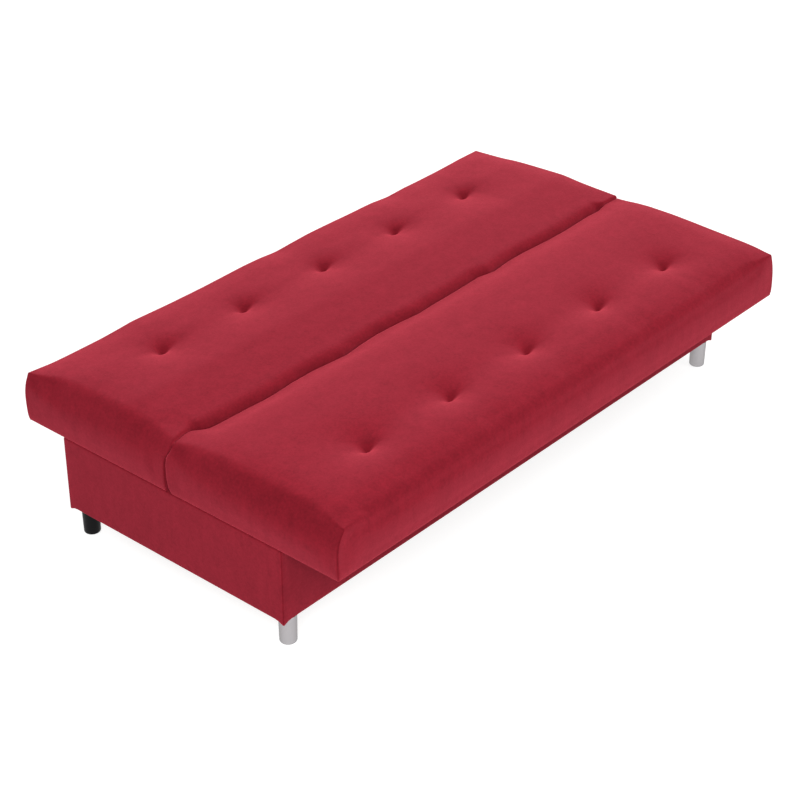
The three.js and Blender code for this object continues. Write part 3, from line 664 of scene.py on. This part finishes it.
def turned_under(z, joint):
    """How far the lower edge of a wall turns in under the panel."""
    in_joint = joint < IN_JOINT
    turn = np.where(in_joint, JOINT_TURN, TURN_HEIGHT)
    depth = np.where(in_joint, JOINT_TURN, TURN_DEPTH)
    under = roll(np.minimum(z - HEM, turn), turn) * depth / turn
    return np.where(z - HEM < turn, under, 0.0)


def placed(panel, x, y, z):
    """Where a point of the plain box ends up: corners rounded, walls leant, the crease waved."""
    left, right, outer, joint = distances(panel, x, y)
    way = inward(panel)
    zeta = np.clip((z - PANEL_BOTTOM) / (PANEL_TOP - PANEL_BOTTOM), 0.0, 1.0)
    outer_corner = CORNER_RADIUS + CORNER_GAINS * (1.0 - zeta) ** 2
    new_x, new_y = x.copy(), y.copy()
    seam_and_shade = np.zeros_like(x)
    for end, by_end in ((-1, left), (1, right)):
        for side, by_side, radius in ((way, outer, outer_corner), (-way, joint, JOINT_CORNER)):
            move_x, move_y, mark = corner_moves(by_end, by_side, radius, zeta)
            new_x -= end * move_x
            new_y += side * move_y
            seam_and_shade = np.maximum(seam_and_shade, mark)
    new_x += end_lean(panel, -1, zeta, outer) * fade(left, LEAN_REACH)
    new_x -= end_lean(panel, 1, zeta, outer) * fade(right, LEAN_REACH)
    new_y += way * OUTER_LEAN * zeta**2 * fade(outer, LEAN_REACH)
    new_y -= way * joint_setback(panel, x, z) * fade(joint, SETBACK_REACH)
    new_y += crease_shift(x, z) * fade(joint, CREASE_REACH)
    under = turned_under(z, joint)
    new_x += under * (fade(left, IN_WALL) - fade(right, IN_WALL))
    new_y += way * under * (fade(outer, IN_WALL) - fade(joint, IN_WALL))
    return np.stack([new_x, new_y, z], -1), seam_and_shade


# Spacing of a cover's grid lines: widest, finest, towards the edges, and away from a tuft
WIDEST, FINEST = 9.0, 3.6
EDGE_SHARE, EDGE_WIDENS = 0.4, 0.2
TUFT_CORE, TUFT_WIDENS = 12.0, 0.12
def spaced(low, high, tufts):
    """Grid lines that lie closer near the edges and the tufts."""
    fine = np.linspace(low, high, int((high - low) * 4) + 1)
    edge = np.minimum(fine - low, high - fine)
    step = np.minimum(WIDEST, FINEST * EDGE_SHARE + EDGE_WIDENS * edge)
    for tuft in tufts:
        away = np.maximum(np.abs(fine - tuft) - TUFT_CORE, 0.0)
        step = np.minimum(step, FINEST + TUFT_WIDENS * away)
    count = np.concatenate([[0.0], np.cumsum(np.diff(fine) / step[1:])])
    return np.interp(np.linspace(0.0, count[-1], math.ceil(count[-1]) + 1), count, fine)


def grid_places(xs, ys):
    """X and Y of every crossing of the grid lines."""
    return (grid.ravel() for grid in np.meshgrid(xs, ys, indexing="ij"))


def rim_walk(nx, ny):
    """Grid places round the rim, anticlockwise from above."""
    walk = [(i, 0) for i in range(nx - 1)] + [(nx - 1, j) for j in range(ny - 1)]
    walk += [(i, ny - 1) for i in range(nx - 1, 0, -1)] + [(0, j) for j in range(ny - 1, 0, -1)]
    return walk


# Shade in the joint's wall: how strong, how soon, and how far down
JOINT_SHADE, SHADE_START, SHADE_REACH = 2.3, 5.0, 50.0


def panel_form(panel, xs, ys, rows):
    """A closed crowned pad: points, seam strength with painted shade down the joint's wall, faces and the
    rings of its wall, rim first.
    """
    nx, ny = len(xs), len(ys)
    x, y = grid_places(xs, ys)
    z = top_height(panel, x, y)
    points, seam_and_shade = placed(panel, x, y, z)
    rim = np.array([i * ny + j for i, j in rim_walk(nx, ny)])
    in_joint = distances(panel, x[rim], y[rim])[3] < IN_JOINT
    all_points, all_seams_and_shade = [points], [seam_and_shade]
    for row in rows[1:]:
        height = z[rim] + (HEM - z[rim]) * row
        ring, ring_seam = placed(panel, x[rim], y[rim], height)
        deep = z[rim] - height
        # Painted shade down the joint's wall, below its rim, joins the seam mark
        shade = JOINT_SHADE * smooth(deep / SHADE_START) * fade(deep, SHADE_REACH) * in_joint
        all_points.append(ring)
        all_seams_and_shade.append(np.maximum(ring_seam, shade))
    faces = []
    for i in range(nx - 1):
        for j in range(ny - 1):
            k = i * ny + j
            faces.append((k, k + ny, k + ny + 1, k + 1))
    rings = [rim] + [nx * ny + len(rim) * k + np.arange(len(rim)) for k in range(len(rows) - 1)]
    for upper, lower in zip(rings, rings[1:]):
        upper_next, lower_next = np.roll(upper, -1), np.roll(lower, -1)
        faces.extend(zip(lower.tolist(), lower_next.tolist(), upper_next.tolist(), upper.tolist()))
    faces.append(tuple(reversed(rings[-1].tolist())))
    return np.concatenate(all_points), np.concatenate(all_seams_and_shade), faces, rings


# Trial of a cover as cloth: spacing of its lines, levels of its wall, longest movement kept
SIM_STEP = 17.0
SIM_ROWS = np.linspace(0.0, 1.0, 12)
SIM_CAP = 4.5
SIM_FRAMES = 20
CLOTH_RULES = {"quality": 4, "mass": 0.3, "tension_stiffness": 25.0, "compression_stiffness": 25.0}
CLOTH_RULES.update({"shear_stiffness": 12.0, "bending_stiffness": 1.5, "vertex_group_mass": "held"})
CLOTH_RULES.update({"use_pressure": True, "uniform_pressure_force": 4.0})
# Where it is held: from a height down, round each tuft, at the corners and along the joint
HELD_HEIGHT, HELD_FADE = 345.0, 25.0
HELD_TUFT, HELD_CORNER, HELD_JOINT = 14.0, 60.0, 45.0


def sim_lines(panel):
    low, high = sorted((panel["outer"], panel["joint"]))
    xs = np.linspace(-HALF, HALF, int(2 * HALF / SIM_STEP) + 1)
    return xs, np.linspace(low, high, int((high - low) / SIM_STEP) + 1)


def held_weight(panel, points):
    """How firmly each point of the trial is held, from none to one."""
    x, y, z = points[:, 0], points[:, 1], points[:, 2]
    weight = np.clip((HELD_HEIGHT - z) / HELD_FADE, 0.0, 1.0)
    for tuft in panel["tufts"]:
        away = np.hypot(x - tuft, y - panel["tuft_line"])
        weight = np.maximum(weight, (away < HELD_TUFT) * 1.0)
    left, right, outer, joint = distances(panel, x, y)
    corner = np.minimum(left, right) + np.minimum(outer, joint)
    weight = np.maximum(weight, fade(corner, HELD_CORNER))
    return np.maximum(weight, fade(joint, HELD_JOINT))


def puffed(panel):
    """Fills a cover out with a little pressure. Returns the trial's lines, movement and rings."""
    xs, ys = sim_lines(panel)
    points, _, faces, rings = panel_form(panel, xs, ys, SIM_ROWS)
    pad = new_piece(panel["name"] + "_trial", points * MM, faces, "velour")
    held = pad.vertex_groups.new(name="held")
    weight = held_weight(panel, points)
    for index in np.nonzero(weight > 0.01)[0]:
        held.add([int(index)], float(weight[index]), "REPLACE")
    cloth = pad.modifiers.new("cloth", "CLOTH")
    for rule, value in CLOTH_RULES.items():
        setattr(cloth.settings, rule, value)
    cloth.settings.effector_weights.gravity = 0.0
    cloth.point_cache.frame_start = 1
    cloth.point_cache.frame_end = SIM_FRAMES
    for step in range(1, SIM_FRAMES + 1):
        scene.frame_set(step)
    graph = bpy.context.evaluated_depsgraph_get()
    result = pad.evaluated_get(graph).data
    moved = np.empty(len(points) * 3)
    result.vertices.foreach_get("co", moved)
    shift = moved.reshape(-1, 3) / MM - points
    bpy.data.objects.remove(pad)
    scene.frame_set(1)
    length = np.linalg.norm(shift, axis=1, keepdims=True)
    shift *= SIM_CAP * np.tanh(length / SIM_CAP) / np.maximum(length, 1e-9)
    return xs, ys, shift, rings
def softened(field, passes=5):
    """Evens out the top's movement, so that no line of the trial's mesh shows. The rim keeps its own."""
    field = field.copy()
    for _ in range(passes):
        field[1:-1] = (field[:-2] + 2.0 * field[1:-1] + field[2:]) / 4.0
        field[:, 1:-1] = (field[:, :-2] + 2.0 * field[:, 1:-1] + field[:, 2:]) / 4.0
    return field


def between(field, us, vs, u, v):
    """Values of a grid field at other places, straight between its lines."""
    i = np.clip(np.searchsorted(us, u) - 1, 0, len(us) - 2)
    j = np.clip(np.searchsorted(vs, v) - 1, 0, len(vs) - 2)
    a = ((u - us[i]) / (us[i + 1] - us[i]))[:, None]
    b = ((v - vs[j]) / (vs[j + 1] - vs[j]))[:, None]
    near = field[i, j] * (1 - b) + field[i, j + 1] * b
    far = field[i + 1, j] * (1 - b) + field[i + 1, j + 1] * b
    return near * (1 - a) + far * a


def carried_over(panel, xs, ys, rows):
    """The trial's movement on the lines of the fine mesh."""
    trial_xs, trial_ys, shift, rings = puffed(panel)
    nx, ny = len(trial_xs), len(trial_ys)
    top = softened(shift[: nx * ny].reshape(nx, ny, 3))
    moves = [between(top, trial_xs, trial_ys, *grid_places(xs, ys))]
    walls = np.stack([shift[ring] for ring in rings])
    walls = np.concatenate([walls, walls[:, :1]], axis=1)
    start, sides = 0, {}
    for side, length in (("front", nx), ("right", ny), ("rear", nx), ("left", ny)):
        sides[side] = walls[:, start : start + length]
        start += length - 1
    along = np.array([(xs[i], ys[j]) for i, j in rim_walk(len(xs), len(ys))])
    side_of = np.repeat(list(sides), [len(xs) - 1, len(ys) - 1] * 2)
    for row in rows[1:]:
        ring = np.zeros((len(along), 3))
        for side, field in sides.items():
            here = side_of == side
            axis = 0 if side in ("front", "rear") else 1
            lines = trial_xs if axis == 0 else trial_ys
            if side in ("rear", "left"):
                field = field[:, ::-1]
            level = np.full(here.sum(), row)
            ring[here] = between(field, SIM_ROWS, lines, level, along[here, axis])
        moves.append(ring)
    return np.concatenate(moves)


COVER_ROWS = np.concatenate([np.linspace(0.0, 0.96, 14), [0.972, 0.982, 0.99, 0.996, 1.0]])
# Cut out of a cover, in metres. Room for the frame: half length, distance from the outer edge and from
# the joint, low and high. Pockets for the fittings: along X, ahead of and behind the hinge, and low.
# Eyes for the hinge pins: radius, and how much shorter than the pocket.
FRAME_ROOMS = ((0.9305, 0.0305, 0.0235, 0.300, 0.320), (0.950, 0.010, 0.004, 0.3049, 0.3886))
POCKETS = ((-0.9317, -0.8934), (0.8934, 0.9317))
POCKET_AHEAD, POCKET_BEHIND, POCKET_LOW = 0.034, 0.072, 0.295
EYE_RADIUS, EYE_SHORTER = 0.0165, 0.0001
# Angle in degrees beyond which a cover's edges are shaded sharp
SHARP_FOLD = 55.0


def cut_outs(panel):
    """Solid shapes to be cut out of a cover."""
    way = inward(panel)
    outer, joint = panel["outer"] * MM, panel["joint"] * MM
    shapes = []
    for half, from_outer, from_joint, low, high in FRAME_ROOMS:
        y = sorted((outer + way * from_outer, joint - way * from_joint))
        shapes.append(block_mesh((-half, y[0], low), (half, y[1], high)))
    y = sorted((HINGE[0] - way * POCKET_BEHIND, HINGE[0] + way * POCKET_AHEAD))
    for x in POCKETS:
        shapes.append(pocket_mesh((x[0], y[0], POCKET_LOW), (x[1], y[1], panel["pocket_top"])))
        shapes.append(rod_mesh(x[0] + EYE_SHORTER, x[1] - EYE_SHORTER, *HINGE, EYE_RADIUS))
    return shapes


def make_cover(panel):
    low, high = sorted((panel["outer"], panel["joint"]))
    xs = spaced(-HALF, HALF, panel["tufts"])
    ys = spaced(low, high, (panel["tuft_line"],))
    points, seam_and_shade, faces, _ = panel_form(panel, xs, ys, COVER_ROWS)
    points = points + carried_over(panel, xs, ys, COVER_ROWS)
    cover = new_piece(panel["name"] + "_cover", points * MM, faces, "velour")
    # The seam mark, with its painted shade in the joint, goes onto the cover
    marks = cover.data.attributes.new("seam_and_shade", "FLOAT", "POINT")
    marks.data.foreach_set("value", seam_and_shade.astype(np.float32))
    cut_away(cover, cut_outs(panel))
    cover.data.set_sharp_from_angle(angle=math.radians(SHARP_FOLD))
    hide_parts(panel["name"] + "_cushion")
    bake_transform(cover)


make_cover(SEAT)
make_cover(BACK)
# Bedding box: one fabric wrapped round the boards, over their top edge and under the floor
BOX_X, BOX_FRONT, BOX_REAR = 960.0, -375.0, 426.0
BOX_LOW, BOX_HEIGHT = 86.0, 218.0
# Levels of the wrap, from the inside over the top edge, down, under the floor's edge and back up:
# inset along X, inset along Y, corner radius, height
WRAP_LEVELS = [
    (21.6, 15.6, 1.0, 279.0), (21.6, 15.6, 1.0, 290.0), (21.5, 15.5, 1.0, 302.5), (20.9, 14.9, 1.2, 303.9),
    (19.5, 13.5, 1.5, 304.13), (10.0, 8.0, 2.2, 304.13), (2.4, 2.4, 2.8, 304.13), (0.9, 0.9, 3.0, 303.7),
    (0.2, 0.2, 3.4, 302.4),
    *((0.0, 0.0, 3.4, z) for z in np.linspace(299.0, 92.0, 20)),
    (0.0, 0.0, 3.4, 88.5), (0.5, 0.5, 3.4, 86.6), (1.6, 1.6, 3.0, 85.85), (3.5, 3.5, 2.8, 85.74),
    (14.0, 14.0, 2.4, 85.74), (25.0, 25.0, 2.0, 85.74), (25.0, 25.0, 2.0, 85.96), (3.0, 3.0, 1.0, 85.96),
    (2.15, 2.15, 0.5, 86.2), (2.12, 2.12, 0.4, 200.0), (2.15, 2.15, 0.5, 303.9), (2.3, 2.3, 0.5, 304.03),
    (20.2, 14.2, 0.5, 304.03), (20.45, 14.45, 0.5, 303.8), (20.45, 14.45, 0.5, 279.0),
]
# A folded tab of fabric hangs under each corner, below a height and within an inset: its depth, reach,
# squareness and fade, and the share of it that the lowest levels of the wall take
TAB_HEIGHT, TAB_INSET = 95.0, 20.0
TAB_DEPTH, TAB_REACH, TAB_POWER, TAB_FADE = 8.0, 16.0, 3.4, 24.0
TAB_SHARES = {92.0: 0.35, 88.5: 0.8}
# The fabric swells between the corners: how far, and where it starts and is full
SWELL, SWELL_START, SWELL_GROWTH = 0.45, 8.0, 60.0
ON_WALL = 1e-6


def rounded_loop(inset_x, inset_y, radius, z, steps=8, part=14.0):
    """One level of the wrap: a rectangle with rounded corners, anticlockwise, always with as many points."""
    half_x, front, rear = BOX_X - inset_x, BOX_FRONT + inset_y, BOX_REAR - inset_y
    corners = [(half_x, front, -90), (half_x, rear, 0), (-half_x, rear, 90), (-half_x, front, 180)]
    counts = [int((BOX_REAR - BOX_FRONT) / part), int(2 * BOX_X / part)] * 2

    def on_corner(corner, share):
        x, y, angle = corner
        turn = math.radians(angle + 90 * share)
        middle_x, middle_y = x - math.copysign(radius, x), y - math.copysign(radius, y)
        return middle_x + radius * math.cos(turn), middle_y + radius * math.sin(turn), z

    loop = []
    for corner, next_corner, count in zip(corners, corners[1:] + corners[:1], counts):
        loop += [on_corner(corner, step / steps) for step in range(steps + 1)]
        (x, y, _), (to_x, to_y, _) = loop[-1], on_corner(next_corner, 0.0)
        for step in range(1, count):
            share = step / count
            loop.append((x + (to_x - x) * share, y + (to_y - y) * share, z))
    return np.array(loop)


def swell_out(loop, away, z):
    """Slow waves of the fabric on the boards, strongest halfway up."""
    x, y = loop[:, 0], loop[:, 1]
    wave = 0.5 * np.sin(x * 0.021 + 1.3) + 0.4 * np.sin(y * 0.033 + z * 0.008)
    wave += 0.3 * np.sin(x * 0.057 + z * 0.019)
    swell = SWELL * (1.0 + wave) * smooth((away - SWELL_START) / SWELL_GROWTH)
    swell = swell * math.sin(math.pi * (z - BOX_LOW) / BOX_HEIGHT)
    on_end = np.abs(np.abs(x) - BOX_X) <= ON_WALL
    to_long_wall = np.minimum(np.abs(y - BOX_FRONT), np.abs(y - BOX_REAR))
    on_long = ~on_end & (to_long_wall < ON_WALL)
    loop[on_end, 0] += np.sign(loop[on_end, 0]) * swell[on_end]
    loop[on_long, 1] += np.sign(loop[on_long, 1]) * swell[on_long]


def make_box_wrap():
    loops = [rounded_loop(*level) for level in WRAP_LEVELS]
    count = len(loops[0])
    corners = [(x, y) for x in (-BOX_X, BOX_X) for y in (BOX_FRONT, BOX_REAR)]
    for (inset, _, _, z), loop in zip(WRAP_LEVELS, loops):
        away = np.min([np.hypot(loop[:, 0] - x, loop[:, 1] - y) for x, y in corners], axis=0)
        if z < TAB_HEIGHT and inset < TAB_INSET:
            deep = TAB_SHARES.get(z, 1.0) * fade(inset, TAB_FADE)
            loop[:, 2] -= TAB_DEPTH * deep * np.exp(-((away / TAB_REACH) ** TAB_POWER))
        if inset == 0.0:
            swell_out(loop, away, z)
    faces = []
    for level in range(len(loops)):
        first, second = level * count, ((level + 1) % len(loops)) * count
        for k in range(count):
            n = (k + 1) % count
            faces.append((second + k, second + n, first + n, first + k))
    wrap = new_piece("box_wrap", np.concatenate(loops) * MM, faces, "velour")
    wrap.data.set_sharp_from_angle(angle=math.radians(70))
    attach(wrap, "bedding_box")
    covers = ["box_front_cover", "box_rear_cover", "box_left_cover", "box_right_cover"]
    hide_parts(*covers)


make_box_wrap()
# Dust covers stapled under the seat and back frames, cut out at the joint's ends where the arms pass:
# distance from the outer edge and the joint, the cut-out, the lines at the ends, and the two faces
LINING_OUTER, LINING_JOINT, NOTCH_LENGTH = 24.0, 16.0, 124.0
NOTCH_X, LINING_ENDS = 893.0, (915.0, 937.0)
LINING_UNDER, LINING_OVER = 304.16, 304.34


def grid_sheet(xs, ys, under, over, left_out):
    """A closed thin sheet on grid lines, without the cells that are left out: points and faces."""
    x, y = grid_places(xs, ys)
    count, ny = len(x), len(ys)
    points = np.concatenate([np.stack([x, y, np.full(count, z)], -1) for z in (under, over)])
    faces, edges = [], set()
    for i in range(len(xs) - 1):
        for j in range(ny - 1):
            if left_out((xs[i] + xs[i + 1]) / 2, (ys[j] + ys[j + 1]) / 2):
                continue
            k = i * ny + j
            loop = [k, k + ny, k + ny + 1, k + 1]
            faces += [loop[::-1], [count + n for n in loop]]
            for edge in zip(loop, loop[1:] + loop[:1]):
                if edge[::-1] in edges:
                    edges.remove(edge[::-1])
                else:
                    edges.add(edge)
    faces += [[k, n, count + n, count + k] for k, n in sorted(edges)]
    used = np.unique(np.concatenate([np.array(face) for face in faces]))
    renumbered = dict(zip(used.tolist(), range(len(used))))
    return points[used], [[renumbered[n] for n in face] for face in faces]


def make_lining(panel, body):
    way = inward(panel)
    y = sorted((panel["outer"] + way * LINING_OUTER, panel["joint"] - way * LINING_JOINT))
    notch = panel["joint"] - way * NOTCH_LENGTH
    ends = np.array(LINING_ENDS)
    xs = np.concatenate([-ends[::-1], np.linspace(-NOTCH_X, NOTCH_X, 121), ends])
    ys = np.sort(np.append(np.linspace(y[0], y[1], 36), notch))

    def in_notch(middle_x, middle_y):
        return abs(middle_x) > NOTCH_X and way * (middle_y - notch) > 0.0

    points, faces = grid_sheet(xs, ys, LINING_UNDER, LINING_OVER, in_notch)
    lining = new_piece(panel["name"] + "_lining", points * MM, faces, "dust_cover")
    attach(lining, body)


make_lining(SEAT, "seat")
make_lining(BACK, "back")
# Legs, turned, each with its stud
def turned_piece(name, profile, x, y, finish, steps=64):
    points, faces = [], []
    for radius, z in profile:
        for step in range(steps):
            turn = 2 * math.pi * step / steps
            points.append((x + radius * math.cos(turn), y + radius * math.sin(turn), z))
    for level in range(len(profile) - 1):
        first, second = level * steps, (level + 1) * steps
        for k in range(steps):
            n = (k + 1) % steps
            faces.append((first + k, first + n, second + n, second + k))
    faces.append(tuple(reversed(range(steps))))
    faces.append(tuple(range((len(profile) - 1) * steps, len(profile) * steps)))
    return new_piece(name, np.array(points) * MM, faces, finish, sharp=40)


# Leg: radii, rounding of the foot, recess for the glide, and where the cone starts and how high it is
FOOT_RADIUS, TOP_RADIUS, FOOT_ROUNDING = 23.2, 24.4, 5.0
RECESS_RADIUS, RECESS_TOP, LEG_BOTTOM = 16.3, 4.3, 1.0
CONE_LOW, CONE_HEIGHT = 6.0, 79.0
# Stud: radii outside and in the thread, first turn, pitch, turns
STUD_RADIUS, THREAD_ROOT = 4.0, 3.45
THREAD_LOW, THREAD_PITCH, THREAD_TURNS = 88.0, 1.25, 28


def leg_profile():
    """Radius and height, from the middle of the foot out and up to the tip of the stud."""
    profile = [(STUD_RADIUS, RECESS_TOP), (RECESS_RADIUS, RECESS_TOP), (RECESS_RADIUS, LEG_BOTTOM)]
    for step in range(9):
        turn = math.pi / 2 * step / 8
        radius = FOOT_RADIUS - FOOT_ROUNDING * (1 - math.sin(turn))
        profile.append((radius, LEG_BOTTOM + FOOT_ROUNDING * (1 - math.cos(turn))))
    for share in (0.25, 0.5, 0.75, 0.96):
        radius = FOOT_RADIUS + (TOP_RADIUS - FOOT_RADIUS) * share
        profile.append((radius, CONE_LOW + CONE_HEIGHT * share))
    profile += [(TOP_RADIUS, 84.6), (TOP_RADIUS - 0.35, 85.35), (TOP_RADIUS - 1.0, 85.68)]
    profile += [(4.6, 85.7), (STUD_RADIUS, 86.3)]
    for thread in range(THREAD_TURNS):
        z = THREAD_LOW + thread * THREAD_PITCH
        profile += [(STUD_RADIUS, z), (THREAD_ROOT, z + 0.62)]
    profile += [(3.7, 123.0), (2.8, 123.7)]
    return profile


# Places and finishes of the legs
LEG_X = (("left", -921.0), ("right", 921.0))
LEG_ROWS = (("front", -351.0, "satin_chrome"), ("rear", 388.0, "black_plastic"))
def make_legs():
    for end, x in LEG_X:
        for row, y, slot in LEG_ROWS:
            leg = turned_piece(f"turned_leg_{row}_{end}", leg_profile(), x, y, slot)
            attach(leg, "bedding_box")
            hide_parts(f"leg_{row}_{end}")


make_legs()


# Frame, boards and fittings keep their own meshes and get their finishes
EASED_EDGE, EASED_DECK = 0.0008, 0.0004


def finish_frame():
    for name, node in nodes.items():
        for slot in node.material_slots:
            slot.material = FINISHES[slot.material.name.split(".")[0]]
        if not name.endswith(("cushion", "cover")):
            bevel = node.modifiers.new("eased_edges", "BEVEL")
            bevel.width = EASED_DECK if "deck" in name else EASED_EDGE
            bevel.segments = 2
            bevel.limit_method = "ANGLE"
            bevel.angle_limit = math.radians(60)


finish_frame()
# Floor, backdrop and light
FLOOR_HALF = 14
FLOOR_GREY, FLOOR_GLOW = 0.46, 0.76
WHITE = (1.0, 1.0, 1.0, 1.0)
# The world's light, and what it gains where the camera sees it
WORLD_LIGHT, WORLD_SEEN = 0.52, 0.48


def seen_by_camera(tree):
    """One where the camera looks, straight or by way of metal and glass."""
    path = tree.nodes.new("ShaderNodeLightPath").outputs
    seen = math_node(tree, "MAXIMUM", path["Is Camera Ray"], path["Is Glossy Ray"])
    return math_node(tree, "MAXIMUM", seen, path["Is Transmission Ray"])


def make_floor():
    grey = (FLOOR_GREY, FLOOR_GREY, FLOOR_GREY, 1.0)
    settings = {"Base Color": grey, "Roughness": 0.9, "Specular IOR Level": 0.1, "Emission Color": WHITE}
    FINISHES["studio_floor"], tree, surface, _ = new_finish("studio_floor", settings)
    glow = math_node(tree, "MULTIPLY", seen_by_camera(tree), FLOOR_GLOW)
    tree.links.new(glow, surface.inputs["Emission Strength"])
    corners = [(x * FLOOR_HALF, y * FLOOR_HALF, 0) for x, y in ((-1, -1), (1, -1), (1, 1), (-1, 1))]
    floor = new_piece("floor", corners, [(0, 1, 2, 3)], "studio_floor")


def make_sky():
    world = bpy.data.worlds.new("studio")
    scene.world = world
    world.use_nodes = True
    tree = world.node_tree
    tree.nodes.clear()
    gained = math_node(tree, "MULTIPLY", seen_by_camera(tree), WORLD_SEEN)
    level = math_node(tree, "ADD", gained, WORLD_LIGHT)
    background = put(tree, "ShaderNodeBackground", {"Color": WHITE, "Strength": level})
    output = tree.nodes.new("ShaderNodeOutputWorld")
    tree.links.new(background.outputs[0], output.inputs["Surface"])
def make_lamp(name, size, power, place, aim=(0.0, 0.0, 0.3)):
    """A soft square lamp, turned towards its aim."""
    data = bpy.data.lights.new(name, "AREA")
    data.shape = "SQUARE"
    data.size = size
    data.energy = power
    lamp = bpy.data.objects.new(name, data)
    scene.collection.objects.link(lamp)
    lamp.location = place
    direction = np.array(aim) - np.array(place)
    tilt = math.atan2(math.hypot(direction[0], direction[1]), -direction[2])
    turn = math.atan2(direction[1], direction[0]) - math.pi / 2
    lamp.rotation_euler = (tilt, 0.0, turn)


make_floor()
make_sky()
make_lamp("corner_lamp", 3.2, 216.0, (-4.2, -2.9, 3.3))
make_lamp("front_lamp", 3.0, 110.0, (1.2, -4.2, 4.6))
make_lamp("far_lamp", 2.5, 38.0, (2.6, 3.4, 2.6))
make_lamp("end_lamp", 2.4, 55.0, (4.8, 1.3, 0.8))
scene.view_settings.view_transform = "Standard"
